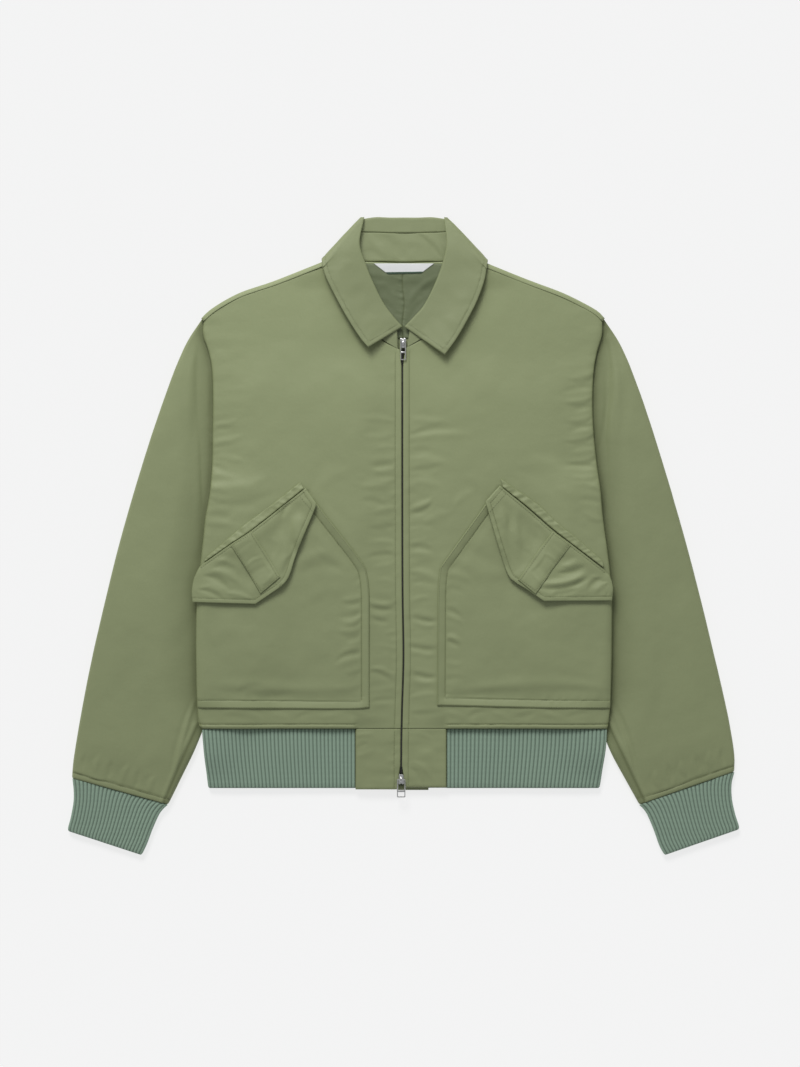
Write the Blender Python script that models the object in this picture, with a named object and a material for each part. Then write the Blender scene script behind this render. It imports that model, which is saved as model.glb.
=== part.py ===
"""Bomber jacket laid flat on its back, front up and sleeves down along the body.

Frame: metres, +Z up, +X towards the wearer's left sleeve, +Y towards the collar,
origin in the middle of the jacket on the surface that it lies on. All the numbers
below are millimetres. Every cloth piece is a wall of even thickness round a middle
surface, which comes from a few outline tables and the heights at which the layers lie.
"""
import math

import bmesh
import bpy
import numpy as np
from mathutils import Vector
from mathutils.bvhtree import BVHTree

# ---- driving dimensions ------------------------------------------------------
BODY_WALL = 4.0      # lightly padded shell of the front and back panels
SLEEVE_WALL = 3.0
RIB_WALL = 2.4       # hem band
CUFF_WALL = 2.2
COLLAR_WALL = 1.8    # two plies and interlining
COLLAR_ROLL = 1.1    # radius of the collar's roll, at mid wall
SEAM = 0.3           # gap between pieces that are sewn edge to edge
LAY_GAP = 3.3        # between back and front where nothing lies under them
SLEEVE_LOW = 6.9     # height of a sleeve where the body lies on it
SLEEVE_HIGH = 9.8    # and where it lies free
BACK_LIFT = 7.3      # how far a sleeve lifts the back panel
FRONT_LIFT = 5.2     # and the front panel, which settles on the back
COLLAR_LIFT = 2.4    # how far the collar's hidden back part lifts both
HEM_Y = -246.5     # lower edge of the shell cloth
RIB_BOTTOM_Y = -323
SIDE_BEND = 12.0     # width over which the panels' side edges come together
PANEL_CROWN = 0.8    # loft of the padding towards the middle of a front panel
SLEEVE_CROWN = 0.6   # and towards the middle of a sleeve

# y, right front edge, right back edge, left front edge, left back edge:
# from the hem up the side seam and the armhole to the shoulder point
SIDE = (
    (-246.5, -258.5, -258.5, 260.5, 260.5),
    (-237, -262.5, -262.5, 262.5, 262.5),
    (-206, -264.5, -264.5, 265, 265),
    (-153.5, -265.5, -265.5, 266.5, 266.5),
    (-107.5, -265.5, -265.5, 267, 267),
    (-71.5, -264, -264, 266.5, 266.5),
    (-41, -260.5, -260.5, 263.5, 263.5),
    (-5, -256.5, -256.5, 259, 259),
    (20.5, -254, -250, 255.5, 251),
    (39.5, -250.5, -245.5, 253.5, 248.5),
    (57.5, -247.5, -242.5, 252, 247),
    (92, -245, -240, 247.5, 242.5),
    (132, -244.5, -239, 243.5, 238),
    (171.5, -244, -238.5, 242, 237),
    (210, -245, -240, 243.5, 238),
    (234, -249, -244, 247.5, 242.5),
    (257.5, -256.5, -251.5, 254, 249),
    (274, -260.5, -258.5, 258.5, 256.5),
)

# folded top of the shoulder, from the neck out to the shoulder point: right x, y, left x, y
SHOULDER = (
    (-85, 361, 85, 361),
    (-104.5, 351, 107, 349.5),
    (-164.5, 327.5, 162, 327.5),
    (-209.5, 312, 205.5, 311),
    (-241.5, 294.5, 244, 291.5),
    (-260, 279.5, 258.5, 279.5),
)

# the zip's line: y, x, half the opening between the front edges
ZIP = (
    (238, -1, 5.6),
    (229, -1.5, 3.6),
    (217.5, -1.5, 2.2),
    (71.5, -1.5, 2.2),
    (-82, -1, 2.2),
    (-158.5, 0, 2.2),
    (-228, -2, 2.2),
    (-294.5, -3, 2.2),
    (-306, -3, 5.4),
    (-325, -3, 5.6),
)

# collar, from each front end round to the shoulder fold. Roll and edge are the
# leaf's two long edges, the heights are its middle there, depth is how far the
# cloth runs back under the roll, and neck is the seam of the stand and the panel.
# roll x, roll y, edge x, edge y, roll height, edge height, depth, neck x, neck y
COLLAR_RIGHT = (
    (-1, 268, -45.5, 240.5, 11.2, 14.6, 6, -7, 238),
    (-13.5, 282, -56.5, 254, 11.3, 14.5, 8, -29, 251.5),
    (-26, 299.5, -72.5, 279, 11.4, 14.5, 10, -50, 273.5),
    (-38.5, 324.5, -88.5, 308.5, 11.9, 15.8, 12, -67, 301.5),
    (-48, 348, -99.5, 331.5, 12.4, 16.6, 14, -78, 326.5),
    (-56, 375, -103, 343.5, 12.6, 17, 16, -84, 343),
    (-54.5, 393, -102, 347.5, 11.2, 17.2, 17.5, -84.5, 350),
)
COLLAR_LEFT = (
    (1, 268, 53, 231, 11.2, 14.6, 6, 4.5, 240.5),
    (13.5, 281, 68, 252, 11.3, 14.5, 8, 26, 253.5),
    (26, 295.5, 80.5, 273.5, 11.4, 14.5, 10, 48, 274.5),
    (39.5, 322, 93.5, 299, 11.9, 15.8, 12, 67, 301.5),
    (49, 347, 103, 325, 12.4, 16.6, 14, 78, 326.5),
    (55, 374, 106, 341, 12.6, 17, 16, 84, 343),
    (56, 391.5, 105.5, 345.5, 11.2, 17.2, 17.5, 84.5, 350),
)
# the collar's fold over the shoulders: roll end x, y, edge end x, y
COLLAR_FOLD_RIGHT = ((-54, 409.5), (-105.5, 355))
COLLAR_FOLD_LEFT = ((55.5, 409.5), (108.5, 353.5))
# back of the neck, right to left: roll x, roll y, edge x, edge y, neck x, neck y
COLLAR_BACK = (
    (-35, 409, -46.5, 345.5, -53, 351.5),
    (-17.5, 408.5, -22.5, 344.5, -26, 350.5),
    (0.5, 408.5, 0.5, 344.5, 0.5, 350),
    (18.5, 408.5, 23.5, 344.5, 27.5, 350.5),
    (36.5, 409, 48, 345.5, 54.5, 351.5),
)
ROLL_LOW, ROLL_TOP = 0.9, 7.7      # the collar's layers at the top corners, and
EDGE_LOW, EDGE_TOP = 0.9, 17.2     # where it goes over the shoulders
BACK_DEPTH = 18.0                  # the part of the leaf that shows behind the neck

# sleeves, armhole to cuff: outer fold x, y, inner fold x, y
SLEEVE_RIGHT = (
    (-280.5, 242, -233.5, -19),
    (-307, 174, -218, -57.5),
    (-335.5, 88.5, -209.5, -98.5),
    (-361.5, 0, -213, -146),
    (-382, -82, -230, -193.5),
    (-399.5, -158.5, -252, -237),
    (-413, -226.5, -268.5, -276.5),
    (-422.5, -283, -289.5, -320),
    (-425, -310, -301.5, -344),
)
SLEEVE_LEFT = (
    (280, 240.5, 233.5, -19),
    (306, 174, 218, -57.5),
    (333.5, 88.5, 209.5, -98.5),
    (359.5, 0, 213, -146),
    (381, -82, 230, -197),
    (399.5, -158.5, 252, -244.5),
    (415, -226.5, 266.5, -279),
    (423.5, -276.5, 284.5, -312.5),
    (424, -301.5, 302, -344),
)
# armhole end of each sleeve past the armhole seam: shoulder first, underarm last
ARM_START = ((-260, 270.5), (258.5, 270.5))
ARM_END = (((-245, 22), (-238.5, 7.5)), ((246, 22), (238.5, 7.5)))
# the inner folds of the sleeves under the body: y, right x, left x
SLEEVE_UNDER = (
    (10, -238.5, 238.5),
    (-19, -233.5, 233.5),
    (-57.5, -218, 218),
    (-98.5, -209.5, 209.5),
    (-146, -213, 213),
    (-193.5, -230, 231),
    (-237, -252, 249.5),
    (-252, -258.5, 254.5),
    (-267.5, -263, 259),
    (-325, -273.5, 270.5),
)

# cuffs, sleeve to hand: outer x, y, inner x, y
CUFF_RIGHT = (
    (-424.5, -310.5, -302, -344.5),
    (-423, -324, -308, -350),
    (-423, -339, -314, -358.5),
    (-426, -358, -321.5, -375.5),
    (-430, -373, -328.5, -394),
    (-430, -378, -335.5, -409),
)
CUFF_LEFT = (
    (424, -302, 302, -344.5),
    (420.5, -317.5, 307.5, -350),
    (421, -336.5, 313.5, -359.5),
    (425, -356, 321, -377.5),
    (430, -371, 328, -397),
    (429.5, -376, 334.5, -409),
)
# hem band: y, right fold x, left fold x
RIB = (
    (-247, -258, 260.5),
    (-266, -256.5, 259.5),
    (-293, -254, 256),
    (-323, -250.5, 251.5),
)
TAB_RIGHT_X, TAB_LEFT_X = -61.5, 55   # where rib and tabs meet
TAB_TOP_Y = HEM_Y - SEAM
TAB_RIGHT_BOTTOM_Y, TAB_LEFT_BOTTOM_Y = -324.5, -322

# pockets: corner points of the patch, hem side first, then up the zip side to
# the top of the slanted mouth, the mouth, and the side seam
POCKET_RIGHT = dict(
    bottom=((-263.5, -220), (-158, -221), (-68.5, -221.5), (-43.5, -219.5)),
    zip_side=((-43.5, -219.5), (-43.5, -133), (-44, -69), (-48, -42), (-61.5, -22), (-110.5, 40.5), (-125, 57.5)),
    mouth=((-262.5, -48.5), (-196.5, 1.5), (-125, 57.5)),
    side=((-263.5, -220), (-265, -153.5), (-264.5, -94.5), (-262.5, -48.5)),
)
POCKET_LEFT = dict(
    bottom=((264.5, -220.5), (174.5, -220), (72.5, -217.5), (43, -217)),
    zip_side=((43, -217), (43.5, -133), (44, -69), (46.5, -40.5), (61, -20), (103.5, 39), (123.5, 61.5)),
    mouth=((264.5, -54), (195, -1.5), (123.5, 61.5)),
    side=((264.5, -220.5), (265.5, -153.5), (266, -101), (264.5, -54)),
)
# flaps: sewn edge from the side seam to the tip, then the free edges
FLAP_RIGHT = dict(
    sewn=((-260.5, -39), (-221.5, -11.5), (-194.5, 6.5), (-155.5, 37), (-125, 61)),
    tip=((-125, 61), (-111.5, 42), (-113.5, 33.5), (-135, -18), (-146, -51), (-155.5, -64)),
    hem=((-269.5, -84.5), (-189, -87), (-155.5, -64)),
    side=((-260.5, -39), (-267.5, -54), (-270.5, -70.5), (-269.5, -84.5)),
)
FLAP_LEFT = dict(
    sewn=((258.5, -45), (214.5, -11), (190, 7.5), (160.5, 33.5), (123, 64.5)),
    tip=((123, 64.5), (104.5, 44), (108, 32), (123.5, -20.5), (134.5, -51), (146.5, -60.5)),
    hem=((266.5, -82.5), (179, -83), (146.5, -60.5)),
    side=((258.5, -45), (264, -52.5), (267.5, -66.5), (266.5, -82.5)),
)
# straps across the flaps: the four corners, sewn edge first
STRAP_RIGHT = ((-220, -13), (-193, 5.5), (-157, -52.5), (-182.5, -74))
STRAP_LEFT = ((213.5, -12), (190, 6), (146, -56), (168.5, -74.5))
# welts: lower edge beside the flap, upper edge
WELT_RIGHT = dict(
    lower=((-255, -33), (-222, -10), (-195, 8), (-157, 38), (-128, 61)),
    upper=((-253, -28), (-228, -6.5), (-203, 14.5), (-166, 42), (-132, 69)),
)
WELT_LEFT = dict(
    lower=((255.5, -39.5), (216.5, -10), (191.5, 9.5), (163, 34.5), (127.5, 63)),
    upper=((254, -31.5), (222, -3.5), (196.5, 17), (171, 41), (124, 73.5)),
)
# neck label: top corners and bottom corners
LABEL = ((-38, 349), (39, 349), (22.5, 336.5), (-20, 335.5))

TOP_SLIDER = (-0.5, 247, 7.6)      # x, y, width of the pull
BOTTOM_SLIDER = (-3, -311.5, 11.0)


# ---- helpers -------------------------------------------------------------------
def smooth(t):
    t = min(max(t, 0.0), 1.0)
    return t * t * (3 - 2 * t)


def column(rows, key, value, at):
    """Value of a table's column at a place along its key column."""
    pairs = sorted((row[key], row[value]) for row in rows)
    return float(np.interp(at, [p[0] for p in pairs], [p[1] for p in pairs]))


def rounded(points, n):
    """n + 1 points evenly along a smooth curve through the given ones."""
    pts = [np.array(p, float) for p in points]
    if len(pts) == 2:
        return [pts[0] + (pts[1] - pts[0]) * i / n for i in range(n + 1)]
    pts = [2 * pts[0] - pts[1]] + pts + [2 * pts[-1] - pts[-2]]
    dense = []
    for a, b, c, d in zip(pts, pts[1:], pts[2:], pts[3:]):
        for k in range(12):
            t = k / 12
            dense.append(0.5 * (2 * b + (c - a) * t + (2 * a - 5 * b + 4 * c - d) * t * t
                                + (3 * b - a - 3 * c + d) * t ** 3))
    dense.append(pts[-2])
    return evenly(dense, n)


def evenly(points, n):
    """n + 1 points evenly along a line of straight pieces."""
    pts = [np.array(p, float) for p in points]
    far = np.concatenate([[0], np.cumsum([np.linalg.norm(b - a) for a, b in zip(pts, pts[1:])])])
    at = np.linspace(0, far[-1], n + 1)
    return [np.array([np.interp(s, far, [p[k] for p in pts]) for k in range(len(pts[0]))]) for s in at]


def cornered(runs, counts):
    """Smooth runs joined at corners."""
    out = []
    for run, n in zip(runs, counts):
        part = rounded(run, n)
        out += part if not out else part[1:]
    return out


def coons(bottom, top, left, right):
    """Grid of plan points between four edges: rows from bottom to top, left to right."""
    nu, nv = len(bottom) - 1, len(left) - 1
    rows = []
    for j in range(nv + 1):
        v = j / nv
        row = []
        for i in range(nu + 1):
            u = i / nu
            row.append((1 - v) * bottom[i] + v * top[i] + (1 - u) * left[j] + u * right[j]
                       - ((1 - u) * (1 - v) * bottom[0] + u * (1 - v) * bottom[-1]
                          + (1 - u) * v * top[0] + u * v * top[-1]))
        rows.append(row)
    return rows


def grid_faces(rows, wrap=False):
    width = len(rows[0])
    faces = []
    for j in range(len(rows) - 1):
        for i in range(width if wrap else width - 1):
            k = (i + 1) % width
            faces.append((j * width + i, j * width + k, (j + 1) * width + k, (j + 1) * width + i))
    return faces


def material(name, colour, roughness, metallic=0.0):
    made = bpy.data.materials.new(name)
    made.use_nodes = True
    shader = made.node_tree.nodes["Principled BSDF"]
    shader.inputs["Base Color"].default_value = (*colour, 1)
    shader.inputs["Roughness"].default_value = roughness
    shader.inputs["Metallic"].default_value = metallic
    made.diffuse_color = (*colour, 1)
    return made


def add_object(name, points, faces, colour, roughness=0.8, metallic=0.0, origin=(0, 0, 0)):
    """A mesh object from points in millimetres, with its own material."""
    mesh = bpy.data.meshes.new(name)
    at = np.array(origin, float)
    mesh.from_pydata([tuple((np.array(p, float) - at) * 0.001) for p in points], [], [tuple(f) for f in faces])
    mesh.update()
    mesh.shade_smooth()
    mesh.set_sharp_from_angle(angle=math.radians(40))
    mesh.materials.append(material(name, colour, roughness, metallic))
    obj = bpy.data.objects.new(name, mesh)
    obj.location = tuple(at * 0.001)
    bpy.context.scene.collection.objects.link(obj)
    return obj


def wall(name, points, faces, thick, colour, roughness=0.8):
    """A closed wall of even thickness round a middle surface."""
    pts = np.array(points, float)
    normals = np.zeros_like(pts)
    for f in faces:
        c = pts[list(f)]
        n = np.cross(c[2] - c[0], c[-1] - c[1])
        for k in f:
            normals[k] += n
    normals /= np.maximum(np.linalg.norm(normals, axis=1), 1e-9)[:, None]
    above, below = pts + normals * thick / 2, pts - normals * thick / 2
    count = len(pts)
    out = [tuple(f) for f in faces] + [tuple(k + count for k in reversed(f)) for f in faces]
    edges = {(f[i], f[(i + 1) % len(f)]) for f in faces for i in range(len(f))}
    for a, b in edges:
        if (b, a) not in edges:
            out.append((b, a, a + count, b + count))
    out.sort()
    return add_object(name, list(above) + list(below), out, colour, roughness)


def surface_tree(*objects):
    """What is lying under a piece, for setting the piece down on it."""
    trees = []
    for obj in objects:
        mesh = obj.data
        trees.append(BVHTree.FromPolygons([v.co + obj.location for v in mesh.vertices],
                                          [tuple(p.vertices) for p in mesh.polygons]))
    return trees


def lay_on(rows, trees, thick, clear=0.35, reach=8.0):
    """Middle surface of a ply of cloth laid on other pieces: plan points to points in space."""
    out = []
    for row in rows:
        for x, y in row:
            best, wide = None, reach
            while best is None:
                for k in range(17):
                    r = 0 if k == 0 else wide if k < 9 else wide / 2
                    px, py = x + r * math.cos(k * math.pi / 4), y + r * math.sin(k * math.pi / 4)
                    for tree in trees:
                        hit = tree.ray_cast(Vector((px, py, 100)) * 0.001, Vector((0, 0, -1)))[0]
                        if hit is not None and (best is None or hit.z * 1000 > best):
                            best = hit.z * 1000
                wide += 3.0
            out.append((x, y, best + clear + thick / 2))
    return out


# ---- heights of the layers -----------------------------------------------------------
def sleeve_lift(x, y):
    """1 where the body lies on a sleeve, 0 where it lies on the surface."""
    along = smooth((98.5 - y) / (98.5 - 52.5)) * smooth((y - -317.5) / (-274 - -317.5))
    right = (column(SLEEVE_UNDER, 0, 1, y) + 20 + 64 - x) / 64
    left = (x - column(SLEEVE_UNDER, 0, 2, y) + 20 + 64) / 64
    return along * smooth(max(right, left))


def collar_lift(x, y):
    """1 where the body lies on the hidden back part of the collar."""
    return smooth((y - 312.5) / (338 - 312.5)) * smooth((150 - abs(x)) / 30)


def side_bend(x, y):
    """How far front and back come together at the side seam."""
    depth = min(x - column(SIDE, 0, 1, y), column(SIDE, 0, 3, y) - x)
    edge = max(1 - max(depth, 0) / SIDE_BEND, 0) ** 2
    gap = LAY_GAP - (BACK_LIFT - FRONT_LIFT) * sleeve_lift(x, y)
    return edge * smooth((42 - y) / (42 - 13)) * (gap - SEAM) / 2


def back_middle(x, y):
    return BODY_WALL / 2 + BACK_LIFT * sleeve_lift(x, y) + COLLAR_LIFT * collar_lift(x, y) + side_bend(x, y)


def front_middle(x, y):
    across, along = (abs(x) - 130) / 130, (y + 10) / 240
    crown = PANEL_CROWN * max(1 - across * across, 0) * max(1 - along * along, 0)
    return BODY_WALL * 1.5 + LAY_GAP + FRONT_LIFT * sleeve_lift(x, y) + COLLAR_LIFT * collar_lift(x, y) - side_bend(x, y) + crown


def zip_x(y):
    return column(ZIP, 0, 1, y)


def zip_edge(y, side):
    return zip_x(y) + side * column(ZIP, 0, 2, y)


# ---- panels ------------------------------------------------------------------------------
SHELL = (0.255, 0.300, 0.160)
RIB_COLOUR = (0.215, 0.290, 0.220)
LINING = (0.150, 0.185, 0.115)
METAL = (0.62, 0.62, 0.60)
NECK_N, SHOULDER_N, BACK_NECK_N = len(COLLAR_RIGHT), 5, len(COLLAR_BACK) + 1
FOLD_RADIUS = (BODY_WALL + LAY_GAP) / 2
SHOULDER_RETURN = 1.2      # the back runs on this far past its turn to the shoulder seam


def shoulder(side, n=SHOULDER_N):
    """Points along a shoulder's folded top, neck outwards, and the way out of the fold at each."""
    k = 0 if side < 0 else 2
    pts = rounded([row[k:k + 2] for row in SHOULDER], n)
    outs = []
    for i in range(n + 1):
        along = pts[min(i + 1, n)] - pts[max(i - 1, 0)]
        out = np.array([-along[1], along[0]]) * side
        outs.append(out / np.linalg.norm(out))
    outs[-1] = np.array([0.15 * side, 0.989])
    return pts, outs


def fold_base(side, extra=0.0):
    pts, outs = shoulder(side)
    return [p - o * (FOLD_RADIUS + BODY_WALL / 2 + extra) for p, o in zip(pts, outs)]


def neck_points(side):
    """Neck seam of a front panel, from the zip to the shoulder."""
    rows = COLLAR_RIGHT if side < 0 else COLLAR_LEFT
    return [np.array(row[7:9], float) for row in rows] + [fold_base(side)[0]]


def make_front(side):
    name = "front_right" if side < 0 else "front_left"
    col = 1 if side < 0 else 3
    neck = neck_points(side)
    neck[0] = np.array([zip_edge(neck[0][1], side), neck[0][1]])
    top = neck[:-1] + fold_base(side, SHOULDER_RETURN + SEAM + 0.3)
    nu = len(top) - 1
    side_edge = [np.array([row[col], row[0]]) for row in SIDE]
    side_edge[-1] = top[-1]
    zip_side = [np.array([zip_edge(y, side), y]) for y in np.linspace(HEM_Y, top[0][1], len(SIDE))]
    bottom = [zip_side[0] + (side_edge[0] - zip_side[0]) * i / nu for i in range(nu + 1)]
    rows = coons(bottom, top, zip_side, side_edge)
    points = [(x, y, front_middle(x, y)) for row in rows for x, y in row]
    return wall(name, points, grid_faces(rows), BODY_WALL, SHELL)


def make_back():
    rows_n = len(SIDE) - 1
    right, left = fold_base(-1), fold_base(1)
    neck = [np.array(row[4:6], float) for row in COLLAR_BACK]
    top = right[::-1] + neck + left
    nu = len(top) - 1
    edge_r = [np.array([row[2], row[0]]) for row in SIDE]
    edge_l = [np.array([row[4], row[0]]) for row in SIDE]
    edge_r[-1], edge_l[-1] = top[0], top[-1]
    bottom = [edge_r[0] + (edge_l[0] - edge_r[0]) * i / nu for i in range(nu + 1)]
    rows = coons(bottom, top, edge_r, edge_l)
    points = [(x, y, back_middle(x, y)) for row in rows for x, y in row]
    faces = grid_faces(rows)
    # over the shoulders: half a turn up to the level of the front
    last = rows_n * (nu + 1)
    for side in (-1, 1):
        _, outs = shoulder(side)
        base = fold_base(side)
        cols = [SHOULDER_N - i for i in range(SHOULDER_N + 1)] if side < 0 else list(range(SHOULDER_N + 1))
        at = [last + i for i in range(SHOULDER_N + 1)] if side < 0 else [last + nu - SHOULDER_N + i for i in range(SHOULDER_N + 1)]
        for turn in (45, 90, 135, 180, "end"):
            now = []
            for c in cols:
                p, o = base[c], outs[c]
                a = math.pi if turn == "end" else math.radians(turn)
                now.append(len(points))
                xy = p + o * (FOLD_RADIUS * math.sin(a) - (SHOULDER_RETURN if turn == "end" else 0))
                points.append((xy[0], xy[1], back_middle(*p) + FOLD_RADIUS * (1 - math.cos(a))))
            for i in range(SHOULDER_N):
                faces.append((at[i], at[i + 1], now[i + 1], now[i]))
            at = now
    return wall("back", points, faces, BODY_WALL, SHELL)


# ---- flattened tubes -----------------------------------------------------------------------
def tube_ring(line, top_height, low, thick, k_top, k_turn=3, stops=None):
    """Middle line round a flattened tube over a plan line from its outer to its inner fold."""
    far = np.concatenate([[0], np.cumsum([np.linalg.norm(b - a) for a, b in zip(line, line[1:])])])

    def at(s):
        return np.array([np.interp(s, far, [p[k] for p in line]) for k in (0, 1)])

    ends = []
    for s, sign in ((0.0, 1), (far[-1], -1)):
        radius = (top_height(*at(s + sign * 5)) - low) / 2
        ends.append((s + sign * (radius + thick / 2), radius))
    (s0, r0), (s1, r1) = ends
    across = [s0 + (s1 - s0) * i / k_top for i in range(k_top + 1)]
    if stops:
        across = [s0] + [far[i] for i in stops] + [s1]
    ring = []
    for i in range(k_top + 1):
        p = at(across[i])
        z = top_height(*p)
        if i == 0:
            z = low + 2 * r0
        if i == k_top:
            z = low + 2 * r1
        ring.append((p[0], p[1], z))
    for s, r, sign in ((s1, r1, 1), (s0, r0, -1)):
        p = at(s)
        out = at(s + 3) - at(s) if sign > 0 else at(s) - at(s - 3)
        if np.linalg.norm(out) < 1e-6:
            out = at(s) - at(s - 3)
        out = sign * out / np.linalg.norm(out)
        for k in range(1, k_turn + 1):
            a = math.pi * k / (k_turn + 1)
            if sign < 0:
                a = math.pi - a
            q = p + out * r * math.sin(a)
            ring.append((q[0], q[1], low + r + r * math.cos(a)))
        if sign > 0:
            for s in across[::-1]:
                q = at(s)
                ring.append((q[0], q[1], low))
    return ring


def tube(name, lines, top_height, low, thick, colour, k_top=9, stops=None):
    rings = [tube_ring(line, top_height, low, thick, k_top, stops=stops if line is lines[0] else None) for line in lines]
    points = [p for ring in rings for p in ring]
    return wall(name, points, grid_faces(rings, wrap=True), thick, colour)


def make_sleeve(side):
    rows = SLEEVE_RIGHT if side < 0 else SLEEVE_LEFT
    k = 0 if side < 0 else 2
    edge = 1 if side < 0 else 3

    def height(x, y):
        away = (x - column(SIDE, 0, edge, y)) * side
        if y < HEM_Y:
            away = 60 - (60 - max(away, 0)) * smooth((y - HEM_Y + 60) / 60)
        crown = SLEEVE_CROWN * max(1 - ((y + 60) / 290) ** 2, 0) * smooth(away / 45)
        return SLEEVE_LOW - SLEEVE_WALL / 2 + (SLEEVE_HIGH - SLEEVE_LOW) * smooth(away / 45) + crown

    which, col = (0, 2) if side < 0 else (1, 4)
    seam = [np.array([row[col] + side * 1.2, row[0]]) for row in SIDE if 38.5 < row[0] < 270]
    arm = [np.array(ARM_START[which], float)] + seam[::-1] + [np.array(p, float) for p in ARM_END[which]]
    far = np.concatenate([[0], np.cumsum([np.linalg.norm(b - a) for a, b in zip(arm, arm[1:])])])
    first = [np.array(rows[0][0:2], float), np.array(rows[0][2:4], float)]
    bowed = []
    for s, p in zip(far / far[-1], arm):
        chord = arm[0] + (arm[-1] - arm[0]) * s
        bowed.append(first[0] + (first[1] - first[0]) * s + (p - chord) * 0.5)
    lines = [arm, bowed]
    for row in rows[1:]:
        lines.append([np.array(row[0:2], float), np.array(row[2:4], float)])
    name = "sleeve_right" if side < 0 else "sleeve_left"
    return tube(name, lines, height, SLEEVE_WALL / 2, SLEEVE_WALL, SHELL, k_top=len(arm) - 1, stops=range(1, len(arm) - 1))


def make_cuff(side):
    rows = CUFF_RIGHT if side < 0 else CUFF_LEFT
    lines = [[np.array(row[0:2], float), np.array(row[2:4], float)] for row in rows]
    name = "cuff_right" if side < 0 else "cuff_left"
    return tube(name, lines, lambda x, y: 6.8, CUFF_WALL / 2, CUFF_WALL, RIB_COLOUR, k_top=7)


def make_rib():
    """Band from the right tab round the back to the left tab."""
    rows = []
    for y in (HEM_Y - SEAM, -261, -281.5, -302, RIB_BOTTOM_Y):
        right, left = column(RIB, 0, 1, y), column(RIB, 0, 2, y)

        def low(x):
            return RIB_WALL / 2 + BACK_LIFT * sleeve_lift(x, y)

        def high(x):
            return RIB_WALL * 1.5 + LAY_GAP + FRONT_LIFT * sleeve_lift(x, y)

        row = []
        rr = (high(right + 4) - low(right + 4)) / 2
        rl = (high(left - 4) - low(left - 4)) / 2
        x0, x1 = right + rr + RIB_WALL / 2, left - rl - RIB_WALL / 2
        for i in range(8):
            x = TAB_RIGHT_X - SEAM + (x0 - TAB_RIGHT_X + SEAM) * i / 8
            row.append((x, y, high(x)))
        for k in range(5):
            a = math.pi * k / 4
            row.append((x0 - rr * math.sin(a), y, low(x0) + rr + rr * math.cos(a)))
        for i in range(1, 14):
            x = x0 + (x1 - x0) * i / 14
            row.append((x, y, low(x)))
        for k in range(5):
            a = math.pi * k / 4
            row.append((x1 + rl * math.sin(a), y, low(x1) + rl - rl * math.cos(a)))
        for i in range(1, 9):
            x = x1 + (TAB_LEFT_X + SEAM - x1) * i / 8
            row.append((x, y, high(x)))
        rows.append(row)
    points = [p for row in rows for p in row]
    return wall("rib_hem", points, grid_faces(rows), RIB_WALL, RIB_COLOUR)


def make_tab(side):
    outer = TAB_RIGHT_X if side < 0 else TAB_LEFT_X
    low_y = TAB_RIGHT_BOTTOM_Y if side < 0 else TAB_LEFT_BOTTOM_Y
    ys = np.linspace(low_y, TAB_TOP_Y, 6)
    rows = [[np.array([zip_edge(y, side) + (outer - zip_edge(y, side)) * i / 3, y]) for i in range(4)] for y in ys]
    points = [(x, y, BODY_WALL * 1.5 + LAY_GAP - 0.2) for row in rows for x, y in row]
    name = "hem_tab_right" if side < 0 else "hem_tab_left"
    return wall(name, points, grid_faces(rows), BODY_WALL - 0.4, SHELL)


# ---- collar -----------------------------------------------------------------------------------
def collar_stations():
    """Rows round the neck from the right front end to the left: roll point, edge point
    (both in space, middle of the leaf), the leaf's outward side, and the depth under the roll."""
    inset = COLLAR_ROLL + COLLAR_WALL / 2
    rows = []

    def fold_rows(fold, side):
        a, b = np.array(fold[0], float), np.array(fold[1], float)
        along = (b - a) / np.linalg.norm(b - a)
        out = np.array([-along[1], along[0]])
        if out[0] * side < 0:
            out = -out
        made = []
        for turn in (180, 144, 108, 72, 36, 0):
            t = math.radians(turn)
            ends = []
            for p, low, high in ((a, ROLL_LOW, ROLL_TOP), (b, EDGE_LOW, EDGE_TOP)):
                radius = (high - low) / 2
                q = p - out * (radius + COLLAR_WALL / 2) + out * radius * math.sin(t)
                ends.append(np.array([q[0], q[1], low + radius - radius * math.cos(t)]))
            d = (ends[1] - ends[0]) / np.linalg.norm(ends[1] - ends[0])
            n = np.array([out[0] * math.sin(t), out[1] * math.sin(t), -math.cos(t)])
            made.append([ends[0] + d * inset, ends[1], n, BACK_DEPTH])
        return made

    def front_rows(table):
        made = []
        for row in table:
            a = np.array([row[0], row[1], row[4]], float)
            b = np.array([row[2], row[3], row[5]], float)
            d = (b - a) / np.linalg.norm(b - a)
            made.append([a + d * inset, b, np.array([0, 0, 1.0]), row[6]])
        return made

    rows += front_rows(COLLAR_RIGHT) + fold_rows(COLLAR_FOLD_RIGHT, -1)
    for row in COLLAR_BACK:
        a = np.array([row[0], row[1], ROLL_LOW], float)
        b = np.array([row[2], row[3], EDGE_LOW], float)
        d = (b - a) / np.linalg.norm(b - a)
        rows.append([a + d * inset, b, np.array([0, 0, -1.0]), BACK_DEPTH])
    rows += fold_rows(COLLAR_FOLD_LEFT, 1)[::-1] + front_rows(COLLAR_LEFT)[::-1]
    return rows


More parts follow.
